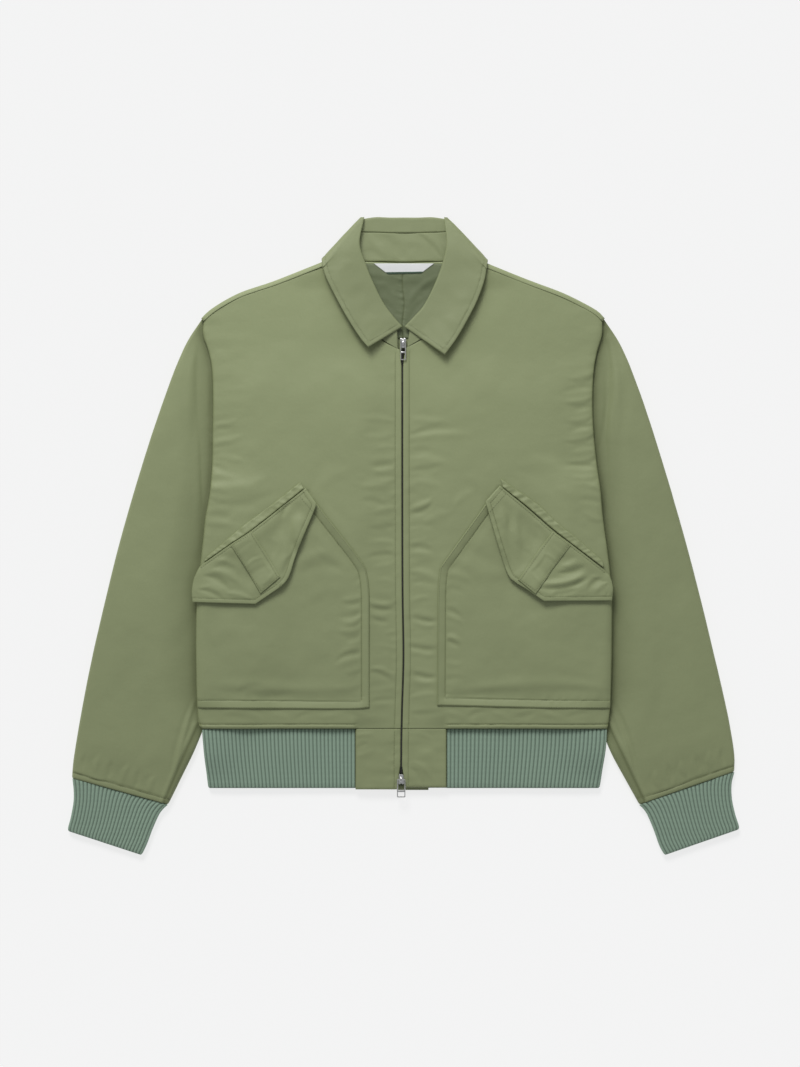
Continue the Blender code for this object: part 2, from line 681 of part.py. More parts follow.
def leaf_section(a, b, n, depth, half):
    """Loop round the collar's hooked section: the leaf, its roll and the cloth under it."""
    d = (b - a) / np.linalg.norm(b - a)
    n = n - d * np.dot(n, d)
    n = n / np.linalg.norm(n)
    w = COLLAR_WALL / 2
    loop = []
    for sign, parts in ((1, range(5)), (-1, range(4, -1, -1))):
        leaf = [(b + (a - b) * k / 4 + n * w * sign) for k in range(5)]
        turn = []
        for k in (1, 2, 3):
            t = math.pi * k / 4
            r = COLLAR_ROLL + w * sign
            turn.append(a - n * COLLAR_ROLL + n * r * math.cos(t) - d * r * math.sin(t))
        under = [a + d * depth * k - n * (2 * COLLAR_ROLL + w * sign) for k in (0, 0.5, 1)]
        side = leaf + turn + under
        loop += side if sign > 0 else side[::-1]
    return loop


def make_collar_fall():
    rows = [leaf_section(a, b, n, depth, None) for a, b, n, depth in collar_stations()]
    points = [p for row in rows for p in row]
    faces = grid_faces(rows, wrap=True)
    count = len(rows[0])
    half = count // 2
    for row, flip in ((0, True), (len(rows) - 1, False)):
        base = row * count
        for i in range(half - 1):
            quad = (base + i, base + i + 1, base + count - 2 - i, base + count - 1 - i)
            faces.append(quad[::-1] if flip else quad)
    return add_object("collar_fall", points, outward(points, faces), SHELL, 0.8)


def outward(points, faces):
    """Faces turned so that the body they close has its outside outwards."""
    pts = np.array(points, float)
    volume = 0.0
    for f in faces:
        for i in range(1, len(f) - 1):
            volume += np.dot(pts[f[0]], np.cross(pts[f[i]], pts[f[i + 1]]))
    return faces if volume > 0 else [tuple(reversed(f)) for f in faces]


def make_collar_stand():
    """Ruled band between the collar leaf's inner edge and the neck seam."""
    stations = collar_stations()
    tops = []
    for a, b, n, depth in stations:
        d = (b - a) / np.linalg.norm(b - a)
        m = n - d * np.dot(n, d)
        m = m / np.linalg.norm(m)
        tops.append(a + d * (depth + 2.1) - m * 2 * COLLAR_ROLL)
    necks = []

    def front_necks(side):
        return [np.array([p[0], p[1], front_middle(*p)]) for p in neck_points(side)[:-1]]

    def turn_necks(side):
        """Half a turn round the shoulder's neck end."""
        _, outs = shoulder(side)
        p, o = fold_base(side)[0], outs[0]
        return [np.array([*(p + o * FOLD_RADIUS * math.sin(math.radians(t))),
                          back_middle(*p) + FOLD_RADIUS * (1 - math.cos(math.radians(t)))])
                for t in (180, 144, 108, 72, 36, 0)]

    necks += front_necks(-1) + turn_necks(-1)
    necks += [np.array([row[4], row[5], back_middle(row[4], row[5])]) for row in COLLAR_BACK]
    necks += turn_necks(1)[::-1] + front_necks(1)[::-1]
    rows = []
    turned = range(NECK_N - 3, NECK_N + 7)
    for i, (top, neck) in enumerate(zip(tops, necks)):
        way = top - neck
        clear = 5.9 if i in turned or len(tops) - 1 - i in turned else 1.4
        foot = neck + way / np.linalg.norm(way) * clear
        rows.append([foot + (top - foot) * k / 3 for k in range(4)])
    points = [p for row in rows for p in row]
    return wall("collar_stand", points, grid_faces(rows), COLLAR_WALL, SHELL)


# ---- what lies on the panels ----------------------------------------------------------------------
def make_lining(back):
    """The part of the back's inner facing that the open neck shows."""
    rows = []
    for k in range(6):
        y = 349 + (253.5 - 349) * k / 5
        half = 58 - 38 * (k / 5) ** 1.2
        rows.append([(0 + half * (i / 3 - 1), y) for i in range(7)])
    points = lay_on(rows, surface_tree(back), 0.8, clear=0.3, reach=2.0)
    return wall("back_lining", points, grid_faces(rows), 0.8, LINING)


def make_label(lining):
    a, b, c, d = [np.array(p, float) for p in LABEL]
    rows = [[d + (c - d) * i / 4 + ((a - d) + ((b - c) - (a - d)) * i / 4) * j / 2 for i in range(5)] for j in range(3)]
    points = lay_on(rows, surface_tree(lining), 0.5, clear=0.3, reach=3.0)
    return wall("neck_label", points, grid_faces(rows), 0.5, (0.86, 0.86, 0.84), 0.6)


def make_pocket(side, front):
    spec = POCKET_RIGHT if side < 0 else POCKET_LEFT
    z = spec["zip_side"]
    bottom = rounded(spec["bottom"], 8)
    zip_side = cornered([z[:4], z[3:6], z[5:]], [4, 4, 1])
    mouth = rounded(spec["mouth"], 8)
    edge = rounded(spec["side"], 9)
    rows = coons(bottom, mouth, edge, zip_side)
    points = lay_on(rows, surface_tree(front), 1.8)
    return wall("pocket_right" if side < 0 else "pocket_left", points, grid_faces(rows), 1.8, SHELL)


def make_flap(side, under):
    spec = FLAP_RIGHT if side < 0 else FLAP_LEFT
    sewn = rounded(spec["sewn"], 9)
    tip = cornered([spec["tip"][:2], spec["tip"][1:]], [1, 5])
    hem = cornered([spec["hem"][:2], spec["hem"][1:]], [6, 3])
    edge = rounded(spec["side"], 6)
    rows = coons(hem, sewn, edge[::-1], tip[::-1])
    points = lay_on(rows, surface_tree(*under), 2.4)
    return wall("flap_right" if side < 0 else "flap_left", points, grid_faces(rows), 2.4, SHELL)


def make_strap(side, flap):
    a, b, c, d = [np.array(p, float) for p in (STRAP_RIGHT if side < 0 else STRAP_LEFT)]
    rows = [[d + (c - d) * i / 2 + ((a - d) + ((b - c) - (a - d)) * i / 2) * j / 5 for i in range(3)] for j in range(6)]
    points = lay_on(rows, surface_tree(flap), 1.6)
    return wall("flap_strap_right" if side < 0 else "flap_strap_left", points, grid_faces(rows), 1.6, SHELL)


def make_welt(side, under):
    spec = WELT_RIGHT if side < 0 else WELT_LEFT
    lower, upper = rounded(spec["lower"], 8), rounded(spec["upper"], 8)
    rows = [lower, [(a + b) / 2 for a, b in zip(lower, upper)], upper]
    points = lay_on(rows, surface_tree(*under), 2.0, reach=2.5)
    return wall("flap_welt_right" if side < 0 else "flap_welt_left", points, grid_faces(rows), 2.0, SHELL)


# ---- zip ---------------------------------------------------------------------------------------------
def strip(name, top_y, bottom_y, left, right, height, thick, colour, roughness=0.8, n=10):
    rows = []
    for y in np.linspace(bottom_y, top_y, n + 1):
        rows.append([np.array([zip_x(y) + dx, y]) for dx in (left, (left + right) / 2, right)])
    points = [(x, y, height) for row in rows for x, y in row]
    return wall(name, points, grid_faces(rows), thick, colour, roughness)


def box(name, low, high):
    points = [(x, y, z) for x in (low[0], high[0]) for y in (low[1], high[1]) for z in (low[2], high[2])]
    faces = [(0, 1, 3, 2), (4, 6, 7, 5), (0, 4, 5, 1), (2, 3, 7, 6), (0, 2, 6, 4), (1, 5, 7, 3)]
    return points, faces


def cutter(name, low, high, origin):
    points, faces = box(name, low, high)
    obj = add_object(name, points, outward(points, faces), METAL, origin=origin)
    obj.hide_render = True
    obj.display_type = "WIRE"
    return obj


def combine(obj, other, operation):
    made = obj.modifiers.new(operation.lower() + "_" + other.name, "BOOLEAN")
    made.operation = operation
    made.object = other
    made.solver = "EXACT"


SLIDER_LOW, SLIDER_TOP, PIN_Z = 6.9, 12.2, 13.4


def make_slider(name, spec, wide_end):
    """Slider body, wider at the end where the teeth part, with the arch that holds the pull."""
    x, y, _ = spec
    outline = [(-3.2, -6), (3.2, -6), (3.5, -1), (4.6, 2.5), (4.4, 6), (1.2, 6.4), (-1.2, 6.4), (-4.4, 6), (-4.6, 2.5), (-3.5, -1)]
    outline = [(x + px, y + py * wide_end) for px, py in outline]
    n = len(outline)
    points = [(px, py, SLIDER_LOW) for px, py in outline] + [(px, py, SLIDER_TOP) for px, py in outline]
    faces = [tuple(range(n - 1, -1, -1)), tuple(range(n, 2 * n))]
    faces += [(i, (i + 1) % n, n + (i + 1) % n, n + i) for i in range(n)]
    body = add_object(name, points, outward(points, faces), METAL, 0.3, 1.0, origin=(x, y, 0))
    arch = cutter(name + "_arch", (x - 1.2, y - 3.2, SLIDER_TOP - 1), (x + 1.2, y + 3.2, PIN_Z + 2.1), (x, y, 0))
    hole = cutter(name + "_eye", (x - 3, y - 2.0, SLIDER_TOP + 0.2), (x + 3, y + 2.0, PIN_Z + 1.1), (x, y, 0))
    combine(body, arch, "UNION")
    combine(body, hole, "DIFFERENCE")
    return body


def make_pull(name, spec, length):
    """Flat rectangular frame hung in the slider's arch, lying down towards the hem."""
    x, y, wide = spec
    t = 0.6
    low, high = (x - wide / 2, y - length, PIN_Z - t), (x + wide / 2, y + 0.7, PIN_Z + t)
    points, faces = box(name, low, high)
    pull = add_object(name, points, outward(points, faces), METAL, 0.25, 1.0, origin=(x, y, PIN_Z))
    upper = cutter(name + "_window", (x - wide / 2 + 1.5, y - length * 0.55, PIN_Z - 2), (x + wide / 2 - 1.5, y - 0.7, PIN_Z + 2), (x, y, PIN_Z))
    lower = cutter(name + "_slot", (x - wide / 2 + 1.5, y - length + 1.8, PIN_Z - 2), (x + wide / 2 - 1.5, y - length * 0.55 - 1.8, PIN_Z + 2), (x, y, PIN_Z))
    combine(pull, upper, "DIFFERENCE")
    combine(pull, lower, "DIFFERENCE")
    return pull


def main():
    for obj in list(bpy.data.objects):
        bpy.data.objects.remove(obj, do_unlink=True)
    back = make_back()
    fronts = {side: make_front(side) for side in (-1, 1)}
    for side in (-1, 1):
        make_sleeve(side)
        make_cuff(side)
        make_tab(side)
        pocket = make_pocket(side, fronts[side])
        welt = make_welt(side, (fronts[side], pocket))
        flap = make_flap(side, (fronts[side], pocket))
        make_strap(side, flap)
    make_rib()
    make_collar_fall()
    make_collar_stand()
    lining = make_lining(back)
    make_label(lining)
    strip("zip_guard", 234, -325.5, -4, 35, 4.85, 1.0, SHELL)
    strip("zip_tape", 237.5, -320, -14, 14, 6.1, 0.8, (0.10, 0.12, 0.07))
    strip("zip_chain", 240, -304, -1.5, 1.5, 8.6, 3.2, (0.12, 0.12, 0.12), 0.4)
    make_slider("slider_top", TOP_SLIDER, 1)
    make_slider("slider_bottom", BOTTOM_SLIDER, -1)
    make_pull("pull_top", TOP_SLIDER, 22)
    make_pull("pull_bottom", BOTTOM_SLIDER, 23)


main()
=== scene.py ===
"""Looks of the bomber jacket: every cloth piece as a thin shell on its solid's form, with its
creases, puckers, seams and stitches, the rib knit, the zip, and the materials.

All the tables and heights are in millimetres and repeat the model's own; a place in plan is
x towards the wearer's left sleeve and y towards the collar, from the middle of the jacket.
"""
import math

import bpy
import numpy as np
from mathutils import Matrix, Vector
from mathutils.bvhtree import BVHTree


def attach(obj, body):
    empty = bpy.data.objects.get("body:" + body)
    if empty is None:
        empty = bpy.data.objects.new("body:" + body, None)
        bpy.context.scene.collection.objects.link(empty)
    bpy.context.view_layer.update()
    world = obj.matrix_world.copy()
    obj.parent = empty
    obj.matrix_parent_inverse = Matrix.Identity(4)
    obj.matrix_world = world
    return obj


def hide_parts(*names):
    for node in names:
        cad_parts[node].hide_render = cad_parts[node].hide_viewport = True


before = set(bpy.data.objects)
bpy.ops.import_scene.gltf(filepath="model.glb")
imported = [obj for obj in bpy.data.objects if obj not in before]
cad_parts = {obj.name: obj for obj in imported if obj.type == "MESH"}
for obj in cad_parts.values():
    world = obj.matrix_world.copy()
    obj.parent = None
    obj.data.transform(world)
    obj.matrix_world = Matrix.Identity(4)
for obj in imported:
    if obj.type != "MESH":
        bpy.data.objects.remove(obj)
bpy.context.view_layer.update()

# ---- driving dimensions, as the model has them ---------------------------------------------------
BODY_WALL = 4.0      # lightly padded shell of the front and back panels
SLEEVE_WALL = 3.0
RIB_WALL = 2.4       # hem band
CUFF_WALL = 2.2
COLLAR_WALL = 1.8    # two plies and interlining
COLLAR_ROLL = 1.1    # radius of the collar's roll, at mid wall
SEAM = 0.3           # gap between pieces that are sewn edge to edge
LAY_GAP = 3.3        # between back and front where nothing lies under them
SLEEVE_LOW = 6.9     # height of a sleeve where the body lies on it
SLEEVE_HIGH = 9.8    # and where it lies free
BACK_LIFT = 7.3      # how far a sleeve lifts the back panel
FRONT_LIFT = 5.2     # and the front panel, which settles on the back
COLLAR_LIFT = 2.4    # how far the collar's hidden back part lifts both
HEM_Y = -246.5     # lower edge of the shell cloth
RIB_BOTTOM_Y = -323
SIDE_BEND = 12.0     # width over which the panels' side edges come together
PANEL_CROWN = 0.8    # loft of the padding towards the middle of a front panel
SLEEVE_CROWN = 0.6   # and towards the middle of a sleeve

# y, right front edge, right back edge, left front edge, left back edge:
# from the hem up the side seam and the armhole to the shoulder point
SIDE = (
    (-246.5, -258.5, -258.5, 260.5, 260.5),
    (-237, -262.5, -262.5, 262.5, 262.5),
    (-206, -264.5, -264.5, 265, 265),
    (-153.5, -265.5, -265.5, 266.5, 266.5),
    (-107.5, -265.5, -265.5, 267, 267),
    (-71.5, -264, -264, 266.5, 266.5),
    (-41, -260.5, -260.5, 263.5, 263.5),
    (-5, -256.5, -256.5, 259, 259),
    (20.5, -254, -250, 255.5, 251),
    (39.5, -250.5, -245.5, 253.5, 248.5),
    (57.5, -247.5, -242.5, 252, 247),
    (92, -245, -240, 247.5, 242.5),
    (132, -244.5, -239, 243.5, 238),
    (171.5, -244, -238.5, 242, 237),
    (210, -245, -240, 243.5, 238),
    (234, -249, -244, 247.5, 242.5),
    (257.5, -256.5, -251.5, 254, 249),
    (274, -260.5, -258.5, 258.5, 256.5),
)

# folded top of the shoulder, from the neck out to the shoulder point: right x, y, left x, y
SHOULDER = (
    (-85, 361, 85, 361),
    (-104.5, 351, 107, 349.5),
    (-164.5, 327.5, 162, 327.5),
    (-209.5, 312, 205.5, 311),
    (-241.5, 294.5, 244, 291.5),
    (-260, 279.5, 258.5, 279.5),
)

# the zip's line: y, x, half the opening between the front edges
ZIP = (
    (238, -1, 5.6),
    (229, -1.5, 3.6),
    (217.5, -1.5, 2.2),
    (71.5, -1.5, 2.2),
    (-82, -1, 2.2),
    (-158.5, 0, 2.2),
    (-228, -2, 2.2),
    (-294.5, -3, 2.2),
    (-306, -3, 5.4),
    (-325, -3, 5.6),
)

# collar, from each front end round to the shoulder fold. Roll and edge are the
# leaf's two long edges, the heights are its middle there, depth is how far the
# cloth runs back under the roll, and neck is the seam of the stand and the panel.
# roll x, roll y, edge x, edge y, roll height, edge height, depth, neck x, neck y
COLLAR_RIGHT = (
    (-1, 268, -45.5, 240.5, 11.2, 14.6, 6, -7, 238),
    (-13.5, 282, -56.5, 254, 11.3, 14.5, 8, -29, 251.5),
    (-26, 299.5, -72.5, 279, 11.4, 14.5, 10, -50, 273.5),
    (-38.5, 324.5, -88.5, 308.5, 11.9, 15.8, 12, -67, 301.5),
    (-48, 348, -99.5, 331.5, 12.4, 16.6, 14, -78, 326.5),
    (-56, 375, -103, 343.5, 12.6, 17, 16, -84, 343),
    (-54.5, 393, -102, 347.5, 11.2, 17.2, 17.5, -84.5, 350),
)
COLLAR_LEFT = (
    (1, 268, 53, 231, 11.2, 14.6, 6, 4.5, 240.5),
    (13.5, 281, 68, 252, 11.3, 14.5, 8, 26, 253.5),
    (26, 295.5, 80.5, 273.5, 11.4, 14.5, 10, 48, 274.5),
    (39.5, 322, 93.5, 299, 11.9, 15.8, 12, 67, 301.5),
    (49, 347, 103, 325, 12.4, 16.6, 14, 78, 326.5),
    (55, 374, 106, 341, 12.6, 17, 16, 84, 343),
    (56, 391.5, 105.5, 345.5, 11.2, 17.2, 17.5, 84.5, 350),
)
# the collar's fold over the shoulders: roll end x, y, edge end x, y
COLLAR_FOLD_RIGHT = ((-54, 409.5), (-105.5, 355))
COLLAR_FOLD_LEFT = ((55.5, 409.5), (108.5, 353.5))
# back of the neck, right to left: roll x, roll y, edge x, edge y, neck x, neck y
COLLAR_BACK = (
    (-35, 409, -46.5, 345.5, -53, 351.5),
    (-17.5, 408.5, -22.5, 344.5, -26, 350.5),
    (0.5, 408.5, 0.5, 344.5, 0.5, 350),
    (18.5, 408.5, 23.5, 344.5, 27.5, 350.5),
    (36.5, 409, 48, 345.5, 54.5, 351.5),
)
ROLL_LOW, ROLL_TOP = 0.9, 7.7      # the collar's layers at the top corners, and
EDGE_LOW, EDGE_TOP = 0.9, 17.2     # where it goes over the shoulders
BACK_DEPTH = 18.0                  # the part of the leaf that shows behind the neck

# sleeves, armhole to cuff: outer fold x, y, inner fold x, y
SLEEVE_RIGHT = (
    (-280.5, 242, -233.5, -19),
    (-307, 174, -218, -57.5),
    (-335.5, 88.5, -209.5, -98.5),
    (-361.5, 0, -213, -146),
    (-382, -82, -230, -193.5),
    (-399.5, -158.5, -252, -237),
    (-413, -226.5, -268.5, -276.5),
    (-422.5, -283, -289.5, -320),
    (-425, -310, -301.5, -344),
)
SLEEVE_LEFT = (
    (280, 240.5, 233.5, -19),
    (306, 174, 218, -57.5),
    (333.5, 88.5, 209.5, -98.5),
    (359.5, 0, 213, -146),
    (381, -82, 230, -197),
    (399.5, -158.5, 252, -244.5),
    (415, -226.5, 266.5, -279),
    (423.5, -276.5, 284.5, -312.5),
    (424, -301.5, 302, -344),
)
# armhole end of each sleeve past the armhole seam: shoulder first, underarm last
ARM_START = ((-260, 270.5), (258.5, 270.5))
ARM_END = (((-245, 22), (-238.5, 7.5)), ((246, 22), (238.5, 7.5)))
# the inner folds of the sleeves under the body: y, right x, left x
SLEEVE_UNDER = (
    (10, -238.5, 238.5),
    (-19, -233.5, 233.5),
    (-57.5, -218, 218),
    (-98.5, -209.5, 209.5),
    (-146, -213, 213),
    (-193.5, -230, 231),
    (-237, -252, 249.5),
    (-252, -258.5, 254.5),
    (-267.5, -263, 259),
    (-325, -273.5, 270.5),
)

# cuffs, sleeve to hand: outer x, y, inner x, y
CUFF_RIGHT = (
    (-424.5, -310.5, -302, -344.5),
    (-423, -324, -308, -350),
    (-423, -339, -314, -358.5),
    (-426, -358, -321.5, -375.5),
    (-430, -373, -328.5, -394),
    (-430, -378, -335.5, -409),
)
CUFF_LEFT = (
    (424, -302, 302, -344.5),
    (420.5, -317.5, 307.5, -350),
    (421, -336.5, 313.5, -359.5),
    (425, -356, 321, -377.5),
    (430, -371, 328, -397),
    (429.5, -376, 334.5, -409),
)
# hem band: y, right fold x, left fold x
RIB = (
    (-247, -258, 260.5),
    (-266, -256.5, 259.5),
    (-293, -254, 256),
    (-323, -250.5, 251.5),
)
TAB_RIGHT_X, TAB_LEFT_X = -61.5, 55   # where rib and tabs meet
TAB_TOP_Y = HEM_Y - SEAM
TAB_RIGHT_BOTTOM_Y, TAB_LEFT_BOTTOM_Y = -324.5, -322

# pockets: corner points of the patch, hem side first, then up the zip side to
# the top of the slanted mouth, the mouth, and the side seam
POCKET_RIGHT = dict(
    bottom=((-263.5, -220), (-158, -221), (-68.5, -221.5), (-43.5, -219.5)),
    zip_side=((-43.5, -219.5), (-43.5, -133), (-44, -69), (-48, -42), (-61.5, -22), (-110.5, 40.5), (-125, 57.5)),
    mouth=((-262.5, -48.5), (-196.5, 1.5), (-125, 57.5)),
    side=((-263.5, -220), (-265, -153.5), (-264.5, -94.5), (-262.5, -48.5)),
)
POCKET_LEFT = dict(
    bottom=((264.5, -220.5), (174.5, -220), (72.5, -217.5), (43, -217)),
    zip_side=((43, -217), (43.5, -133), (44, -69), (46.5, -40.5), (61, -20), (103.5, 39), (123.5, 61.5)),
    mouth=((264.5, -54), (195, -1.5), (123.5, 61.5)),
    side=((264.5, -220.5), (265.5, -153.5), (266, -101), (264.5, -54)),
)
# flaps: sewn edge from the side seam to the tip, then the free edges
FLAP_RIGHT = dict(
    sewn=((-260.5, -39), (-221.5, -11.5), (-194.5, 6.5), (-155.5, 37), (-125, 61)),
    tip=((-125, 61), (-111.5, 42), (-113.5, 33.5), (-135, -18), (-146, -51), (-155.5, -64)),
    hem=((-269.5, -84.5), (-189, -87), (-155.5, -64)),
    side=((-260.5, -39), (-267.5, -54), (-270.5, -70.5), (-269.5, -84.5)),
)
FLAP_LEFT = dict(
    sewn=((258.5, -45), (214.5, -11), (190, 7.5), (160.5, 33.5), (123, 64.5)),
    tip=((123, 64.5), (104.5, 44), (108, 32), (123.5, -20.5), (134.5, -51), (146.5, -60.5)),
    hem=((266.5, -82.5), (179, -83), (146.5, -60.5)),
    side=((258.5, -45), (264, -52.5), (267.5, -66.5), (266.5, -82.5)),
)
# straps across the flaps: the four corners, sewn edge first
STRAP_RIGHT = ((-220, -13), (-193, 5.5), (-157, -52.5), (-182.5, -74))
STRAP_LEFT = ((213.5, -12), (190, 6), (146, -56), (168.5, -74.5))
# welts: lower edge beside the flap, upper edge
WELT_RIGHT = dict(
    lower=((-255, -33), (-222, -10), (-195, 8), (-157, 38), (-128, 61)),
    upper=((-253, -28), (-228, -6.5), (-203, 14.5), (-166, 42), (-132, 69)),
)
WELT_LEFT = dict(
    lower=((255.5, -39.5), (216.5, -10), (191.5, 9.5), (163, 34.5), (127.5, 63)),
    upper=((254, -31.5), (222, -3.5), (196.5, 17), (171, 41), (124, 73.5)),
)
# neck label: top corners and bottom corners
LABEL = ((-38, 349), (39, 349), (22.5, 336.5), (-20, 335.5))

TOP_SLIDER = (-0.5, 247, 7.6)      # x, y, width of the pull
BOTTOM_SLIDER = (-3, -311.5, 11.0)

# ---- sizes of what is sewn ------------------------------------------------------------------------
STITCH_LONG, STITCH_GAP, STITCH_WIDE = 2.5, 0.7, 0.55
PLACKET = 9.0          # from the zip's middle to the placket's stitching
POCKET_SEAM = 10.2     # from the patch's edge to its inner stitching
FLAP_HEM = 5.6         # from a flap's free edges to their stitching
COLLAR_STITCH = 6.2    # from the leaf's edges to its stitching
HEM_STITCH = 5.6       # from the rib seam up to the shell's stitching
CUFF_STITCH = 7.0      # from a cuff seam up to the sleeve's stitching
RIB_PITCH = 4.93       # one rib of the knit
RIB_DEEP = 1.15        # ridge over groove
TOOTH_PITCH = 2.3
EDGE_ROLL = 1.15       # how far the cloth rolls in over the zip's tape
EDGE_RUN = 6.8         # how far the leaf's edge runs on past the shoulder fold
TIP_LIFT = 6.5         # how far the collar tips stand off the fronts
HEAD_RISE = 10.0        # the sleeve head runs up this far under the end of the shoulder

# ---- creases: from, to, sideways bow of the middle, half width, height (below 0 a trough) -----
FRONT_RIGHT_CREASES = (
    # below the collar and beside the zip
    ((-52, 150), (-12, 147), 1.5, 3.0, 0.7), ((-48, 126.5), (-12, 130.5), -1.5, 3.2, 0.9),
    ((-35, 111.5), (-11, 114), 1.0, 2.2, 0.6), ((-40.5, 89.5), (-11, 94.5), -2.0, 3.4, -1.0),
    ((-38, 83), (-11, 87), -1.5, 2.6, 0.8), ((-55.5, 64), (-12, 73), -3.0, 4.0, 1.2),
    ((-53, 45), (-25, 38.5), 2.5, 3.5, -1.1), ((-38, 30.5), (-9.5, 36), 1.5, 2.6, 0.9),
    ((-43, 9), (-12, 13), -2.0, 3.0, -0.9), ((-38, -6.5), (-11, -9), 1.0, 2.4, 0.7),
    ((-45.5, -28), (-9.5, -25.5), 2.5, 3.0, -1.2), ((-38, -38.5), (-12, -33.5), -2.0, 2.4, 0.9),
    ((-35, -56.5), (-11, -60), 1.5, 2.2, 0.6), ((-44, -89.5), (-16, -93.5), -3.0, 2.6, -1.7),
    ((-41.5, -83), (-14.5, -86), -2.5, 2.4, 1.0), ((-41.5, -103.5), (-20, -109), -2.5, 2.4, -1.5),
    ((-23.5, -125.5), (-9.5, -123), 1.0, 2.2, 0.9), ((-38, -139.5), (-12, -143.5), 1.5, 2.4, 0.5),
    ((-43, -174), (-16, -185.5), 3.0, 2.6, -1.7), ((-41.5, -169), (-14.5, -178), 2.5, 2.2, 0.9),
    ((-43, -197), (-12, -193.5), -1.5, 2.6, 0.7), ((-43, -212.5), (-9.5, -210), 1.0, 2.4, -0.9),
    ((-15.5, -125.5), (-14.5, -185.5), 0.6, 1.6, -0.7),
    # beside the armhole
    ((-242.5, 235.5), (-227, 225.5), 2.0, 3.5, 0.7), ((-242.5, 143.5), (-214.5, 148.5), -2.5, 2.6, 0.9),
    ((-242.5, 134.5), (-218, 137), 1.5, 2.4, -0.9), ((-242.5, 121.5), (-208, 128), -2.0, 2.8, 1.0),
    ((-244, 111.5), (-219.5, 115), 1.5, 2.2, -0.8), ((-244, 100), (-205.5, 94.5), 2.5, 3.0, 1.1),
    ((-245, 89.5), (-227, 79.5), 3.0, 2.6, -1.3), ((-246.5, 78), (-214.5, 71.5), 2.0, 3.0, 1.0),
    ((-247.5, 61.5), (-222, 54), 2.0, 3.2, 0.8), ((-249, 47.5), (-227, 41), -1.5, 2.6, -0.9),
    ((-251.5, 28), (-219.5, 19), 2.5, 3.6, -1.0), ((-253, 16.5), (-209.5, 11.5), 2.0, 3.6, 0.8),
    # soft folds above the flap and over the chest
    ((-241.5, 64), (-181, 71.5), -5.0, 6.0, 1.0), ((-232.5, 39.5), (-173.5, 51), -4.0, 5.5, -0.9),
    ((-227, 18), (-186, 30.5), 3.0, 5.0, 0.8), ((-109.5, 61.5), (-66, 84.5), 4.0, 7.0, 0.8),
    ((-190, 180.5), (-132.5, 238), 12.0, 16.0, 0.8), ((-94, 206), (-66, 135.5), 8.0, 12.0, -0.5),
    ((-109.5, 28), (-81.5, -15.5), 3.0, 4.0, -0.6), ((-99, 36), (-66, -11.5), 3.0, 4.0, 0.5),
    # under the pocket
    ((-228.5, -230.5), (-201.5, -233.5), 1.5, 2.4, -0.8), ((-168.5, -228), (-145.5, -233), 1.2, 2.2, 0.7),
    ((-137.5, -234), (-117, -226.5), 1.5, 2.2, -0.9), ((-109.5, -230.5), (-84, -228), -1.2, 2.4, 0.8),
    ((-75, -226.5), (-53, -233), 1.0, 2.4, -0.7), ((-199, -226.5), (-181, -234), 1.0, 2.4, 0.8),
)
